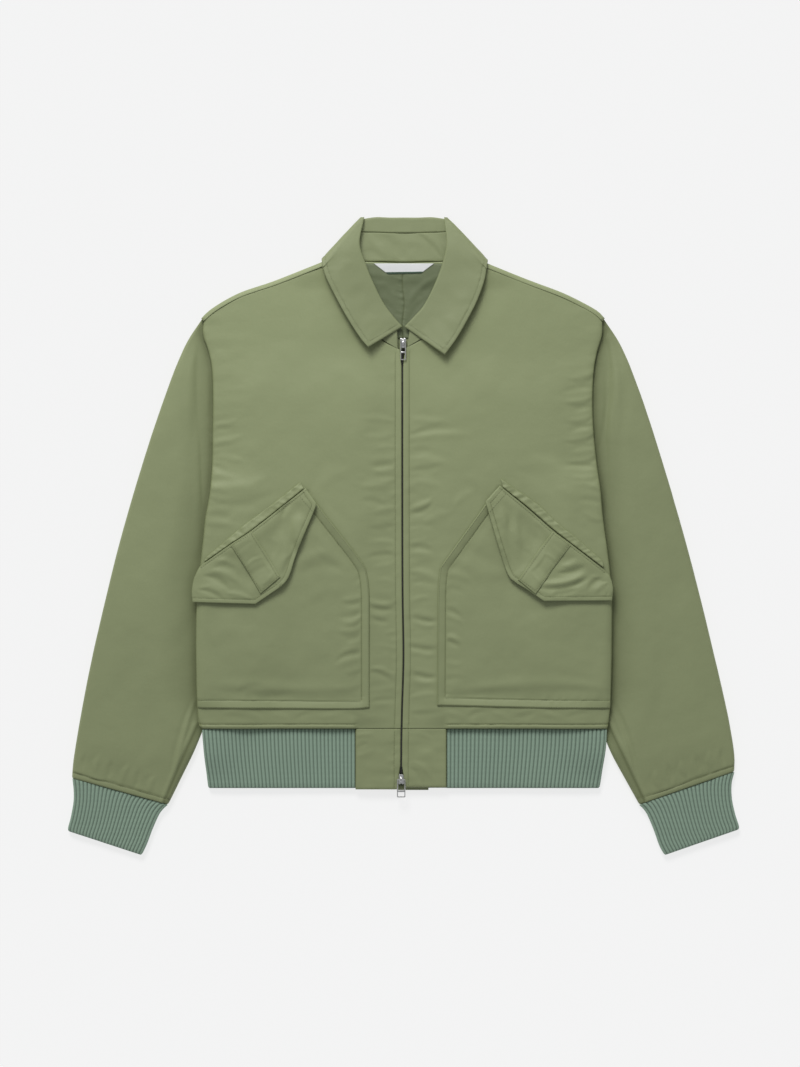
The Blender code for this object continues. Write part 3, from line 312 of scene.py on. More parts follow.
FRONT_LEFT_CREASES = (
    ((11, 151), (50.5, 147), -1.5, 3.0, 0.8), ((14.5, 132), (62, 137), 2.0, 3.2, -0.8),
    ((13.5, 125.5), (82.5, 129.5), 2.5, 3.6, 0.9), ((11, 110), (36.5, 107.5), 1.0, 2.4, -0.6),
    ((11, 98.5), (54.5, 93.5), 2.0, 3.6, 1.0), ((12, 84.5), (44, 88.5), -1.5, 3.0, -0.8),
    ((11, 68), (46.5, 64), 2.0, 3.4, 0.7), ((11, 29.5), (35, 38.5), -2.5, 3.0, -1.5),
    ((12, 37), (36.5, 47.5), -2.0, 2.6, 0.8), ((29, 18), (58, 29.5), 2.5, 4.4, 0.9),
    ((11, 9), (39, 5), 1.5, 2.6, 0.6), ((9.5, -14), (35, -19), 2.5, 2.6, -1.1),
    ((11, -22), (36.5, -25.5), 2.0, 2.4, 0.8), ((9.5, -45), (43, -55), 2.5, 3.2, 1.1),
    ((11, -59), (43, -62.5), 1.5, 2.6, -0.7), ((12, -82), (34, -78), 1.0, 2.4, 0.6),
    ((12, -102.5), (41.5, -109), -2.5, 2.4, -1.4), ((12, -110), (41.5, -115), -2.0, 2.2, 0.9),
    ((9.5, -141), (41.5, -144.5), -2.0, 2.6, -1.2), ((9.5, -147), (41.5, -152.5), -2.0, 2.4, 0.8),
    ((13.5, -175.5), (40.5, -180.5), -2.5, 2.4, -1.3), ((11, -183), (39, -187), -2.0, 2.2, 0.7),
    ((11, -206), (43, -202), 1.0, 2.6, 0.6), ((11, -228), (46.5, -225.5), -1.0, 2.6, -0.7),
    # beside the armhole
    ((244, 210), (213, 202), 3.0, 3.4, 0.9), ((242.5, 189.5), (206.5, 184.5), -2.5, 2.8, -1.0),
    ((241.5, 179), (208, 171.5), 2.5, 2.8, 1.1), ((241.5, 165), (218, 160), -1.5, 2.4, -0.8),
    ((241.5, 155), (210.5, 147), 2.5, 2.6, 1.0), ((241.5, 139.5), (213, 133), -2.5, 2.6, -1.1),
    ((242.5, 130.5), (208, 123), 2.5, 2.6, 1.1), ((244, 115), (215.5, 110), -1.5, 2.4, -0.8),
    ((245, 102.5), (213, 94.5), 2.5, 3.0, 0.9), ((247.5, 87), (208, 89.5), -2.5, 2.8, -1.2),
    ((249, 78), (218, 74), 2.0, 2.6, 1.0), ((251.5, 60), (223.5, 66.5), -2.0, 2.8, 0.8),
    ((253, 42), (226, 46), -1.5, 2.8, -0.7), ((254, 20.5), (231, 30.5), 2.0, 3.0, 0.8),
    # soft folds of the chest and above the flap
    ((59.5, 251), (123.5, 180.5), -10.0, 14.0, 0.6), ((149, 84.5), (203, 46), 5.0, 7.0, -0.7),
    ((166, 100), (226, 64), 5.0, 7.0, 0.7), ((75, 71.5), (98, 46), 3.0, 5.0, -0.6),
    ((66, 39.5), (90, 56.5), 3.0, 4.0, 0.6),
    # under the pocket
    ((54.5, -225.5), (76, -231.5), 1.0, 2.4, 0.7), ((82.5, -231.5), (105.5, -224), 1.5, 2.4, -0.9),
    ((113.5, -225.5), (134, -233), 1.2, 2.2, 0.8), ((141.5, -231.5), (167, -226.5), -1.5, 2.4, -0.9),
    ((177.5, -226.5), (200.5, -231.5), 1.0, 2.4, 0.8), ((208, -231.5), (236, -225.5), 1.0, 2.4, -0.7),
)
POCKET_RIGHT_CREASES = (
    ((-53, -77), (-78.5, -82), 2.0, 2.6, 0.9), ((-54.5, -84.5), (-76, -87), 1.5, 2.4, -0.8),
    ((-53, -97.5), (-81.5, -103.5), 2.5, 2.8, -1.1), ((-54.5, -105), (-76, -112.5), 2.0, 2.4, 0.8),
    ((-53, -118), (-84, -121.5), 2.0, 2.8, 1.0), ((-54.5, -128), (-73.5, -133), 1.5, 2.4, -0.9),
    ((-54.5, -151), (-85, -160), -3.0, 2.8, -1.2), ((-54.5, -143.5), (-80, -150), -2.0, 2.6, 0.9),
    ((-54.5, -169), (-75, -174), 1.5, 2.6, 0.7), ((-55.5, -189.5), (-89, -194.5), 2.0, 3.4, 0.6),
    ((-132.5, -33.5), (-99, -22), 3.0, 6.0, 0.9), ((-128.5, -46), (-81.5, -38.5), 4.0, 6.0, -0.7),
    ((-117, -15.5), (-71, -47.5), -5.0, 5.0, -0.6), ((-125, -82), (-75, -69), 5.0, 9.0, 0.6),
    ((-253, -133), (-196.5, -123), 5.0, 10.0, 0.5), ((-241.5, -197), (-132.5, -202), -3.0, 5.0, -0.7),
    ((-224.5, -189.5), (-94, -194.5), -3.0, 6.0, 0.6), ((-232.5, -152.5), (-145.5, -169), 8.0, 14.0, 0.5),
    ((-212, -199.5), (-181, -192), 2.0, 3.6, -0.6), ((-132.5, -179), (-94, -158.5), 5.0, 10.0, -0.4),
)
POCKET_LEFT_CREASES = (
    ((50.5, -48.5), (85, -56.5), 3.0, 4.0, 0.9), ((52, -66.5), (75, -71.5), 1.5, 2.8, -0.6),
    ((50.5, -94.5), (72.5, -103.5), 2.5, 2.6, -1.0), ((50.5, -102.5), (75, -110), 2.0, 2.4, 0.8),
    ((50.5, -135.5), (70, -141), 2.5, 2.4, -1.6), ((50.5, -129.5), (73.5, -134.5), 2.0, 2.4, 1.0),
    ((50.5, -160), (72.5, -164), -1.5, 2.6, 0.7), ((52, -185.5), (76, -182), 1.5, 2.6, -0.6),
    ((67, -30.5), (123.5, -48.5), -5.0, 8.0, 0.7), ((80, -11.5), (108, -30.5), -3.0, 6.0, -0.5),
    ((149, -114), (232.5, -97.5), -8.0, 12.0, 0.6), ((85, -202), (251.5, -199.5), 3.0, 5.0, -0.7),
    ((98, -194.5), (238.5, -190.5), 3.0, 6.0, 0.6), ((200.5, -133), (251.5, -165), 8.0, 12.0, -0.5),
    ((123.5, -133), (181, -158.5), 8.0, 14.0, 0.5), ((174.5, -94.5), (256.5, -86), 3.0, 6.0, -0.5),
)
FLAP_RIGHT_CREASES = (
    ((-154, 25.5), (-145.5, 42), 2.0, 2.4, -1.3), ((-160.5, 30.5), (-151.5, 45), 2.0, 2.4, 0.8),
    ((-145.5, 18), (-136.5, -25.5), -2.5, 4.0, -0.9), ((-132.5, 25.5), (-137.5, -15.5), 3.0, 5.0, 0.8),
    ((-157, 1.5), (-151.5, -38.5), 3.0, 4.5, 0.7), ((-173.5, -5), (-166, -25.5), 2.0, 3.4, -0.6),
    ((-251.5, -51), (-224.5, -66.5), 2.5, 3.4, -1.0), ((-242.5, -43.5), (-209.5, -60), 3.0, 4.0, 0.9),
    ((-236, -30.5), (-214.5, -38.5), 2.0, 3.0, 0.7), ((-259, -69), (-232.5, -79.5), 2.0, 2.6, -0.8),
    ((-224.5, -73), (-196.5, -79.5), 1.0, 2.6, 0.6), ((-208, -30.5), (-194, -66.5), 1.5, 3.0, -0.6),
    ((-181, -69), (-163, -56.5), 1.5, 2.4, -0.8), ((-153, -48.5), (-142.5, -25.5), 1.5, 2.6, -0.6),
)
FLAP_LEFT_CREASES = (
    ((135, 20.5), (140, -28), -3.0, 4.4, -0.9), ((144, 30.5), (149, -11.5), -3.0, 4.6, 0.8),
    ((126, 39.5), (134, 7.5), -2.0, 3.6, 0.7), ((176, -66.5), (233.5, -55), -6.0, 3.0, -1.3),
    ((181, -60), (231, -47.5), -5.0, 3.2, 1.0), ((199, -47.5), (230, -38.5), -2.5, 3.0, -0.9),
    ((203, -38.5), (222, -30.5), -2.0, 3.0, 0.7), ((236, -69), (251.5, -54), 2.0, 2.6, -0.9),
    ((245, -71.5), (259, -60), 1.5, 2.4, 0.7), ((191.5, -74), (219.5, -69), -1.5, 2.4, -0.7),
    ((154, 5), (162, -20.5), -2.0, 4.0, 0.6), ((169.5, 13), (185, -11.5), 2.0, 3.6, -0.5),
    ((122, -15.5), (134, -43.5), -1.5, 2.6, -0.6),
)
SLEEVE_RIGHT_CREASES = (
    ((-256.5, 257.5), (-259, 148.5), -3.5, 4.6, -1.8), ((-259, 161.5), (-256.5, 46), 2.5, 4.6, -1.5),
    ((-265.5, 244.5), (-273.5, 135.5), -4.0, 5.0, 0.8), ((-264.5, 123), (-265.5, 20.5), 2.0, 5.0, 0.7),
    ((-279.5, 235.5), (-324.5, 107.5), 7.0, 14.0, 0.7), ((-299, 84.5), (-324.5, -30.5), 7.0, 16.0, -0.6),
    ((-273.5, -11.5), (-299, -133), 8.0, 12.0, 0.6), ((-363, -69), (-373, -184.5), 5.0, 14.0, 0.6),
    ((-267, -210), (-291, -297), -2.0, 2.2, 0.9), ((-273.5, -214), (-297.5, -297), -2.0, 2.6, -0.7),
    ((-324.5, -197), (-337.5, -286.5), 6.0, 10.0, -0.5), ((-265.5, -30.5), (-269.5, -133), -4.0, 6.0, -0.7),
    ((-395, -302), (-390, -283), 1.0, 3.0, 0.8), ((-378, -308.5), (-374.5, -289.5), -1.0, 3.0, -0.8),
    ((-360.5, -315), (-352.5, -294.5), 1.5, 3.0, 0.8), ((-343.5, -321.5), (-338.5, -299.5), -1.0, 3.0, -0.7),
    ((-326, -327.5), (-319.5, -308.5), 1.0, 3.0, 0.8), ((-410, -297), (-407.5, -281.5), 1.0, 2.8, -0.7),
)
SLEEVE_LEFT_CREASES = (
    ((255.5, 260), (260.5, 148.5), 3.5, 4.6, -2.0), ((259, 161.5), (258, 39.5), -2.0, 4.6, -1.7),
    ((249, 243), (265.5, 256), 2.0, 3.0, 0.9), ((265.5, 244.5), (273.5, 135.5), 4.0, 5.0, 0.8),
    ((282, 225.5), (315.5, 110), -7.0, 14.0, 0.6), ((297.5, 84.5), (322, -30.5), -7.0, 16.0, -0.6),
    ((274.5, -11.5), (302.5, -133), -8.0, 12.0, 0.6), ((364, -69), (379.5, -184.5), -5.0, 14.0, 0.6),
    ((267, -220), (294, -302), 2.0, 2.2, 0.9), ((273.5, -220), (300, -302), 2.0, 2.6, -0.7),
    ((328.5, -197), (338.5, -276.5), -6.0, 10.0, -0.5), ((267, -30.5), (269.5, -133), 4.0, 6.0, -0.7),
    ((395, -297), (391, -276.5), 1.0, 3.0, 0.8), ((379.5, -302), (374.5, -283), -1.0, 3.0, -0.8),
    ((361.5, -307), (355, -289.5), 1.5, 3.0, 0.8), ((343.5, -313.5), (338.5, -294.5), -1.0, 3.0, -0.7),
    ((327, -321.5), (322, -302), 1.0, 3.0, 0.8), ((410, -292), (407.5, -274), 1.0, 2.8, -0.7),
)
# the underside is creased much like the front: the same kinds of fold, fewer and longer
BACK_CREASES = (
    ((-209.5, -210), (-94, -217.5), 4.0, 7.0, 0.8), ((21, -215), (200.5, -207.5), -5.0, 7.0, 0.9),
    ((-196.5, 148.5), (-181, -30.5), 9.0, 12.0, 0.8), ((200.5, 135.5), (181, -56.5), -9.0, 12.0, 0.8),
    ((-94, 302), (-68.5, 199.5), 8.0, 9.0, 0.6), ((85, 302), (66, 187), -8.0, 9.0, 0.6),
    ((-132.5, -94.5), (98, -107.5), 10.0, 16.0, 0.6), ((-81.5, 71.5), (85, 84.5), -12.0, 18.0, 0.5),
)


UNDERARM_RIGHT = ((-261, -230.5), (-263.5, -240.5), (-287, -293), (-308, -343))
UNDERARM_LEFT = ((260, -234), (266.5, -249.5), (296.5, -312.5), (309, -339))
TAB_CREASES = (
    ((-59.5, -256), (-40.5, -252), 1, 2.6, 0.5),
    ((-59.5, -271.5), (-45.5, -266), 1, 2.6, -0.5),
    ((-59.5, -281.5), (-38, -274), -1, 3.0, 0.4),
    ((11, -251), (34, -258.5), 2, 3.0, 0.5),
    ((12, -289.5), (36.5, -310), 3, 3.2, 0.6),
    ((9.5, -297), (21, -315), 2, 2.6, -0.6),
    ((-14.5, -297), (-12, -317.5), 2, 2.4, 0.5),
)
STRAP_RIGHT_CREASES = (
    ((-200.5, -38.5), (-181, -27), 2, 1.5, 0.55),
    ((-181, -27), (-166, -47.5), -1, 1.6, 0.50),
    ((-166, -47.5), (-180, -62.5), 1, 1.5, 0.40),
    ((-212, -20.5), (-194, -7.5), 1, 2.6, -0.40),
    ((-196.5, -50), (-176, -38.5), 1, 3.0, -0.35),
)
STRAP_LEFT_CREASES = (
    ((195, -34.5), (180, -23), -2, 1.5, 0.55),
    ((180, -23), (162, -45), 1, 1.6, 0.50),
    ((162, -45), (176, -60), -1, 1.5, 0.40),
    ((208, -20.5), (191.5, -7.5), 1, 2.6, -0.40),
    ((187.5, -52.5), (172, -38.5), 1, 3.0, -0.35),
)
COLLAR_CREASES = (
    ((-84, 338), (-66, 350.5), 2, 5.0, 0.35),
    ((-75, 302), (-50.5, 317.5), -2, 6.0, -0.30),
    ((-53, 263.5), (-32.5, 279), 2, 5.0, 0.30),
    ((85, 302), (59.5, 315), 2, 6.0, 0.35),
    ((72.5, 257.5), (54.5, 279), -3, 6.0, 0.40),
    ((57, 244.5), (26, 274), 3, 5.0, -0.35),
    ((95.5, 333), (75, 350.5), 2, 5.0, -0.30),
)
STAND_CREASES = (
    ((20, 385.5), (49.5, 353.5), 3, 3.2, -0.7),
    ((26, 386.5), (55.5, 357), 2, 4.0, 0.6),
    ((-43, 381.5), (-14.5, 358.5), -3, 5.0, 0.5),
    ((-25, 384), (0.5, 356), 2, 4.5, -0.4),
    ((-7, 379), (21, 374), 1, 5.0, 0.35),
    ((-48, 366), (-25, 353.5), 2, 4.0, -0.4),
)
LINING_CREASES = (
    ((-35, 325), (-7, 302), 3, 4.0, 0.6),
    ((34, 327.5), (7, 299.5), -3, 4.0, 0.6),
    ((-30, 302), (-4.5, 279), 2, 3.6, -0.5),
    ((26, 302), (6, 274), -2, 3.6, -0.5),
    ((-45.5, 333), (-22.5, 315), 2, 4.0, -0.5),
    ((46.5, 333), (21, 317.5), -2, 4.0, 0.5),
)


# ---- helpers -------------------------------------------------------------------------------------
def smooth(t):
    t = np.clip(t, 0.0, 1.0)
    return t * t * (3 - 2 * t)


def column(rows, key, value, at):
    """A table's column at places along its key column, on a smooth curve through its rows."""
    pairs = sorted((row[key], row[value]) for row in rows)
    xs, ys = np.array([p[0] for p in pairs], float), np.array([p[1] for p in pairs], float)
    slopes = np.gradient(ys, xs)
    at = np.clip(np.asarray(at, float), xs[0], xs[-1])
    i = np.clip(np.searchsorted(xs, at) - 1, 0, len(xs) - 2)
    h = xs[i + 1] - xs[i]
    t = (at - xs[i]) / h
    return ((2 * t ** 3 - 3 * t ** 2 + 1) * ys[i] + (t ** 3 - 2 * t ** 2 + t) * h * slopes[i]
            + (3 * t ** 2 - 2 * t ** 3) * ys[i + 1] + (t ** 3 - t ** 2) * h * slopes[i + 1])


def curve(points, steps=14):
    """Dense smooth line through a few points."""
    pts = np.array(points, float)
    if len(pts) == 2:
        t = np.linspace(0, 1, steps * 2)[:, None]
        return pts[0] + (pts[1] - pts[0]) * t
    pts = np.vstack([2 * pts[0] - pts[1], pts, 2 * pts[-1] - pts[-2]])
    t = (np.arange(steps) / steps)[:, None]
    out = []
    for a, b, c, d in zip(pts, pts[1:], pts[2:], pts[3:]):
        out.append(0.5 * (2 * b + (c - a) * t + (2 * a - 5 * b + 4 * c - d) * t * t
                          + (3 * b - a - 3 * c + d) * t ** 3))
    return np.vstack(out + [pts[-2:-1]])


def runs(*parts):
    """Smooth runs joined at corners."""
    lines = [curve(p) for p in parts]
    return np.vstack([lines[0]] + [line[1:] for line in lines[1:]])


def lengths(line):
    return np.concatenate([[0], np.cumsum(np.linalg.norm(np.diff(line, axis=0), axis=1))])


def at_shares(line, shares):
    """Points at these shares of a dense line's length."""
    line = np.asarray(line, float)
    far = lengths(line)
    return np.stack([np.interp(np.asarray(shares) * far[-1], far, line[:, k]) for k in range(line.shape[1])], axis=1)


def graded(length, step, starts=(), ends=(), fine=1.0):
    """Shares from 0 to 1 at about this step, closer together round some places.
    starts are places measured from the start, ends from the end, each (place, reach)."""
    spots = [(p, r) for p, r in starts] + [(length - p, r) for p, r in ends]
    s = np.linspace(0, length, int(length / 0.25) + 1)
    want = np.full(len(s), step)
    for place, reach in spots:
        near = np.clip(np.abs(s - place) / reach, 0, 1)
        want = np.minimum(want, fine + (step - fine) * near ** 2)
    count = np.concatenate([[0], np.cumsum(0.5 * (1 / want[1:] + 1 / want[:-1]) * np.diff(s))])
    n = max(int(round(count[-1])), 2)
    return np.interp(np.linspace(0, count[-1], n + 1), count, s) / length


def coons(bottom, top, left, right, u, v):
    """Grid of plan points between four dense edges, at shares u across and v up."""
    b, t = at_shares(bottom, u), at_shares(top, u)
    l, r = at_shares(left, v), at_shares(right, v)
    uu, vv = np.asarray(u)[None, :, None], np.asarray(v)[:, None, None]
    return ((1 - vv) * b[None] + vv * t[None] + (1 - uu) * l[:, None] + uu * r[:, None]
            - ((1 - uu) * (1 - vv) * b[0] + uu * (1 - vv) * b[-1] + (1 - uu) * vv * t[0] + uu * vv * t[-1]))


def grid_faces(rows, cols, wrap=False, first=0):
    j = np.arange(rows - 1)[:, None]
    i = np.arange(cols if wrap else cols - 1)[None, :]
    k = (i + 1) % cols
    a = first + j * cols
    return np.stack([a + i, a + k, a + cols + k, a + cols + i], axis=-1).reshape(-1, 4)


def chance(n, seed):
    """Fixed numbers from -1 to 1, one for each whole number."""
    v = np.sin(np.asarray(n, float) * 12.9898 + seed * 78.233) * 43758.5453
    return (v - np.floor(v)) * 2 - 1


def noise1(s, cell, seed):
    g = np.asarray(s, float) / cell
    i = np.floor(g)
    f = g - i
    f = f * f * (3 - 2 * f)
    return chance(i, seed) * (1 - f) + chance(i + 1, seed) * f


def noise2(x, y, cell, seed):
    gx, gy = np.asarray(x, float) / cell, np.asarray(y, float) / cell
    i, j = np.floor(gx), np.floor(gy)
    fx, fy = gx - i, gy - j
    fx, fy = fx ** 3 * (fx * (fx * 6 - 15) + 10), fy ** 3 * (fy * (fy * 6 - 15) + 10)

    def h(a, b):
        return chance(a * 57.0 + b * 131.0, seed)

    return ((h(i, j) * (1 - fx) + h(i + 1, j) * fx) * (1 - fy)
            + (h(i, j + 1) * (1 - fx) + h(i + 1, j + 1) * fx) * fy)


def beside(x, y, line):
    """(distance, place along) of plan points from a line of straight pieces. The distance is above 0 on its left."""
    line = np.asarray(line, float)
    if len(line) > 40:
        line = at_shares(line, np.linspace(0, 1, 40))
    far = lengths(line)
    best = np.full(np.shape(x), 1e9)
    along = np.zeros(np.shape(x))
    sign = np.ones(np.shape(x))
    for k, (a, b) in enumerate(zip(line, line[1:])):
        d = b - a
        size = np.dot(d, d)
        if size < 1e-9:
            continue
        t = np.clip(((x - a[0]) * d[0] + (y - a[1]) * d[1]) / size, 0, 1)
        ex, ey = x - a[0] - t * d[0], y - a[1] - t * d[1]
        gap = ex * ex + ey * ey
        near = gap < best
        best = np.where(near, gap, best)
        along = np.where(near, far[k] + t * math.sqrt(size), along)
        sign = np.where(near, np.sign(d[0] * ey - d[1] * ex), sign)
    return np.sqrt(best) * np.where(sign == 0, 1, sign), along


def creased(x, y, table):
    """Height of a table of creases: each a soft ridge or trough, tapered at its ends, with a lip beside it."""
    total = np.zeros(np.shape(x))
    for a, b, bow, wide, high in table:
        a, b = np.array(a, float), np.array(b, float)
        d = b - a
        size = np.linalg.norm(d)
        ux, uy = d / size
        px, py = x - a[0], y - a[1]
        t = (px * ux + py * uy) / size
        near = (t > -0.25) & (t < 1.25)
        off = -px * uy + py * ux - bow * 4 * t * (1 - t)
        near &= np.abs(off) < wide * 5
        if not near.any():
            continue
        tn, on = t[near], off[near]
        w = wide * (0.75 + 0.5 * np.sin(np.pi * np.clip(tn, 0, 1)))
        ends = smooth((tn + 0.2) / 0.45) * smooth((1.2 - tn) / 0.45)
        bump = np.exp(-(on / w) ** 2) - 0.45 * np.exp(-((on - 1.9 * w) / (1.3 * w)) ** 2)
        total[near] += high * bump * ends
    return total


def edge_round(distance, reach, drop):
    """How far an edge rolls down: drop at the edge itself, nothing past reach."""
    e = np.clip(1 - distance / reach, 0, 1)
    return -drop * (1 - np.sqrt(np.clip(1 - e * e, 0, 1)))


def seam_relief(distance, along, seed, groove=0.7, pull=0.5, reach=9.0, cell=7.0, wide=1.3, sides=(1, 1)):
    """A stitched line: its groove, and the short uneven puckers that run off it on either side."""
    out = -groove * np.exp(-(distance / wide) ** 2)
    for k, sign in enumerate((1, -1)):
        if not sides[k]:
            continue
        d = np.where(distance * sign >= 0, np.abs(distance), 1e6)
        lean = along + d * (0.35 if sign > 0 else -0.25)
        wave = noise1(lean, cell, seed + 3 * k) + 0.6 * noise1(lean, cell * 0.45, seed + 3 * k + 1)
        strong = 0.55 + 0.45 * noise1(along, cell * 6, seed + 3 * k + 2)
        out += pull * strong * wave * (d / 2.0) * np.exp(1 - d / 2.0) * 0.6 * np.exp(-d / reach)
        out += pull * 0.5 * strong * wave * np.exp(-(d / reach) ** 2)
    return out


# ---- heights of the layers, as in the model -----------------------------------------------------------
def sleeve_lift(x, y):
    along = smooth((98.5 - y) / (98.5 - 52.5)) * smooth((y - -317.5) / (-274 - -317.5))
    right = (column(SLEEVE_UNDER, 0, 1, y) + 20 + 64 - x) / 64
    left = (x - column(SLEEVE_UNDER, 0, 2, y) + 20 + 64) / 64
    return along * smooth(np.maximum(right, left))


def collar_lift(x, y):
    return smooth((y - 312.5) / (338 - 312.5)) * smooth((150 - np.abs(x)) / 30)


def side_bend(x, y):
    depth = np.minimum(x - column(SIDE, 0, 1, y), column(SIDE, 0, 3, y) - x)
    edge = np.clip(1 - np.maximum(depth, 0) / SIDE_BEND, 0, None) ** 2
    gap = LAY_GAP - (BACK_LIFT - FRONT_LIFT) * sleeve_lift(x, y)
    return edge * smooth((42 - y) / (42 - 13)) * (gap - SEAM) / 2


def back_middle(x, y):
    return BODY_WALL / 2 + BACK_LIFT * sleeve_lift(x, y) + COLLAR_LIFT * collar_lift(x, y) + side_bend(x, y)


def front_middle(x, y):
    across, along = (np.abs(x) - 130) / 130, (y + 10) / 240
    crown = PANEL_CROWN * np.clip(1 - across * across, 0, None) * np.clip(1 - along * along, 0, None)
    return (BODY_WALL * 1.5 + LAY_GAP + FRONT_LIFT * sleeve_lift(x, y) + COLLAR_LIFT * collar_lift(x, y)
            - side_bend(x, y) + crown)


def zip_x(y):
    return column(ZIP, 0, 1, y)


def zip_edge(y, side):
    """The cloth's edge, which rolls in over the tape past the panel's own."""
    table = sorted((row[0], row[2]) for row in ZIP)
    half = np.interp(y, [row[0] for row in table], [row[1] for row in table])
    return zip_x(y) + side * (half - EDGE_ROLL - 1.2 * smooth((half - 2.2) / 3.0))


FOLD_RADIUS = (BODY_WALL + LAY_GAP) / 2
SHOULDER_RETURN = 0.4


# ---- meshes --------------------------------------------------------------------------------------------
made = {}


def new_object(name, points, faces, material, body="jacket", smooth_faces=True, shade=None, sharp=None):
    mesh = bpy.data.meshes.new(name)
    points = np.asarray(points, float) * 0.001
    if isinstance(faces, np.ndarray):
        faces = faces.tolist()
    mesh.from_pydata(points.tolist(), [], faces)
    mesh.update()
    if smooth_faces:
        mesh.shade_smooth()
    if sharp:
        mesh.set_sharp_from_angle(angle=math.radians(sharp))
    if shade is not None:
        # the 'seam' attribute holds painted shade, 0 to 1: how far the material darkens the colour at each point
        layer = mesh.attributes.new("seam", "FLOAT", "POINT")
        layer.data.foreach_set("value", np.asarray(shade, np.float32))
    mesh.materials.append(material)
    obj = bpy.data.objects.new(name, mesh)
    bpy.context.scene.collection.objects.link(obj)
    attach(obj, body)
    made[name] = obj
    return obj


def point_normals(points, faces):
    c = points[faces]
    n = np.cross(c[:, 2] - c[:, 0], c[:, 3] - c[:, 1])
    out = np.zeros_like(points)
    for k in range(4):
        np.add.at(out, faces[:, k], n)
    return out / np.maximum(np.linalg.norm(out, axis=1), 1e-9)[:, None]


def rim_of(faces, count):
    """Quads that close a wall round the free edges of its middle surface."""
    a = np.concatenate([faces[:, [0, 1]], faces[:, [1, 2]], faces[:, [2, 3]], faces[:, [3, 0]]])
    key = a[:, 0].astype(np.int64) * (count + 1) + a[:, 1]
    back = a[:, 1].astype(np.int64) * (count + 1) + a[:, 0]
    free = a[~np.isin(key, back)]
    return np.stack([free[:, 1], free[:, 0], free[:, 0] + count, free[:, 1] + count], axis=1)


def shell(name, points, faces, thick, material, top=0.0, under=0.0, shade=None, **more):
    """A wall round a middle surface, with relief added to its upper and its lower face."""
    points = np.asarray(points, float)
    normals = point_normals(points, faces)
    count = len(points)
    thick, top, under = (np.broadcast_to(np.asarray(v, float), count)[:, None] for v in (thick, top, under))
    upper = points + normals * (thick / 2 + top)
    lower = points - normals * (thick / 2 + under)
    every = np.vstack([faces, faces[:, ::-1] + count, rim_of(faces, count)])
    if shade is not None:
        shade = np.concatenate([shade, np.zeros(count)])
    obj = new_object(name, np.vstack([upper, lower]), every, material, shade=shade, **more)
    area = point_area(points, faces)
    obj["flat_mm2"] = area
    return obj


def point_area(points, faces):
    c = points[faces]
    return float(np.linalg.norm(np.cross(c[:, 2] - c[:, 0], c[:, 3] - c[:, 1]), axis=1).sum() / 2)


def tree_of(*objects):
    verts, polys = [], []
    for obj in objects:
        first = len(verts)
        verts += [v.co.copy() for v in obj.data.vertices]
        polys += [tuple(i + first for i in p.vertices) for p in obj.data.polygons]
    return BVHTree.FromPolygons(verts, polys)


class Drape:
    """Height map of what lies under a piece. Spread and softened, it is how cloth comes to lie on it."""

    def __init__(self, low, high, step=1.5):
        self.low, self.step = np.array(low, float), step
        n = np.ceil((np.array(high, float) - self.low) / step).astype(int) + 1
        self.z = np.full((n[1], n[0]), -1e6)

    def add(self, obj):
        v = np.empty(len(obj.data.vertices) * 3)
        obj.data.vertices.foreach_get("co", v)
        v = v.reshape(-1, 3) * 1000
        i = np.round((v[:, 0] - self.low[0]) / self.step).astype(int)
        j = np.round((v[:, 1] - self.low[1]) / self.step).astype(int)
        inside = (i >= 0) & (j >= 0) & (i < self.z.shape[1]) & (j < self.z.shape[0])
        layer = np.full(self.z.shape, -1e6)
        np.maximum.at(layer, (j[inside], i[inside]), v[inside, 2])
        for _ in range(3):
            layer = np.where(layer < -1e5, self._around(layer), layer)
        self.z = np.maximum(self.z, layer)
        return self

    @staticmethod
    def _around(z):
        out = z.copy()
        for dj in (-1, 0, 1):
            for di in (-1, 0, 1):
                out = np.maximum(out, np.roll(np.roll(z, dj, 0), di, 1))
        return out

    def settle(self, spread, soften):
        z = self.z
        for _ in range(200):
            empty = z < -1e5
            if not empty.any():
                break
            z = np.where(empty, self._around(z), z)
        for _ in range(int(round(spread / self.step))):
            z = self._around(z)
        k = max(int(round(soften / self.step / 2)), 1)
        for _ in range(3):
            for axis in (0, 1):
                pad = np.pad(z, [(k, k) if a == axis else (0, 0) for a in (0, 1)], mode="edge")
                c = np.cumsum(pad, axis=axis)
                c = np.concatenate([np.zeros_like(np.take(c, [0], axis)), c], axis)
                n = z.shape[axis]
                z = (np.take(c, range(2 * k + 1, 2 * k + 1 + n), axis) - np.take(c, range(n), axis)) / (2 * k + 1)
        self.z = z
        return self

    def at(self, x, y):
        gx = np.clip((x - self.low[0]) / self.step, 0, self.z.shape[1] - 1.001)
        gy = np.clip((y - self.low[1]) / self.step, 0, self.z.shape[0] - 1.001)
        i, j = gx.astype(int), gy.astype(int)
        fx, fy = gx - i, gy - j
        z = self.z
        return ((z[j, i] * (1 - fx) + z[j, i + 1] * fx) * (1 - fy)
                + (z[j + 1, i] * (1 - fx) + z[j + 1, i + 1] * fx) * fy)


# ---- materials --------------------------------------------------------------------------------------------
def new_material(name):
    mat = bpy.data.materials.new(name)
    mat.use_nodes = True
    nodes, links = mat.node_tree.nodes, mat.node_tree.links
    shader = nodes["Principled BSDF"]
    coord = nodes.new("ShaderNodeTexCoord")
    return mat, nodes, links, shader, coord.outputs["Object"]


def noise_node(nodes, links, where, scale, detail=2.0, rough=0.5, stretch=None):
    if stretch:
        mapping = nodes.new("ShaderNodeMapping")
        mapping.inputs["Scale"].default_value = stretch
        links.new(where, mapping.inputs["Vector"])
        where = mapping.outputs["Vector"]
    n = nodes.new("ShaderNodeTexNoise")
    n.inputs["Scale"].default_value = scale
    n.inputs["Detail"].default_value = detail
    n.inputs["Roughness"].default_value = rough
    links.new(where, n.inputs["Vector"])
    return n.outputs["Fac"]


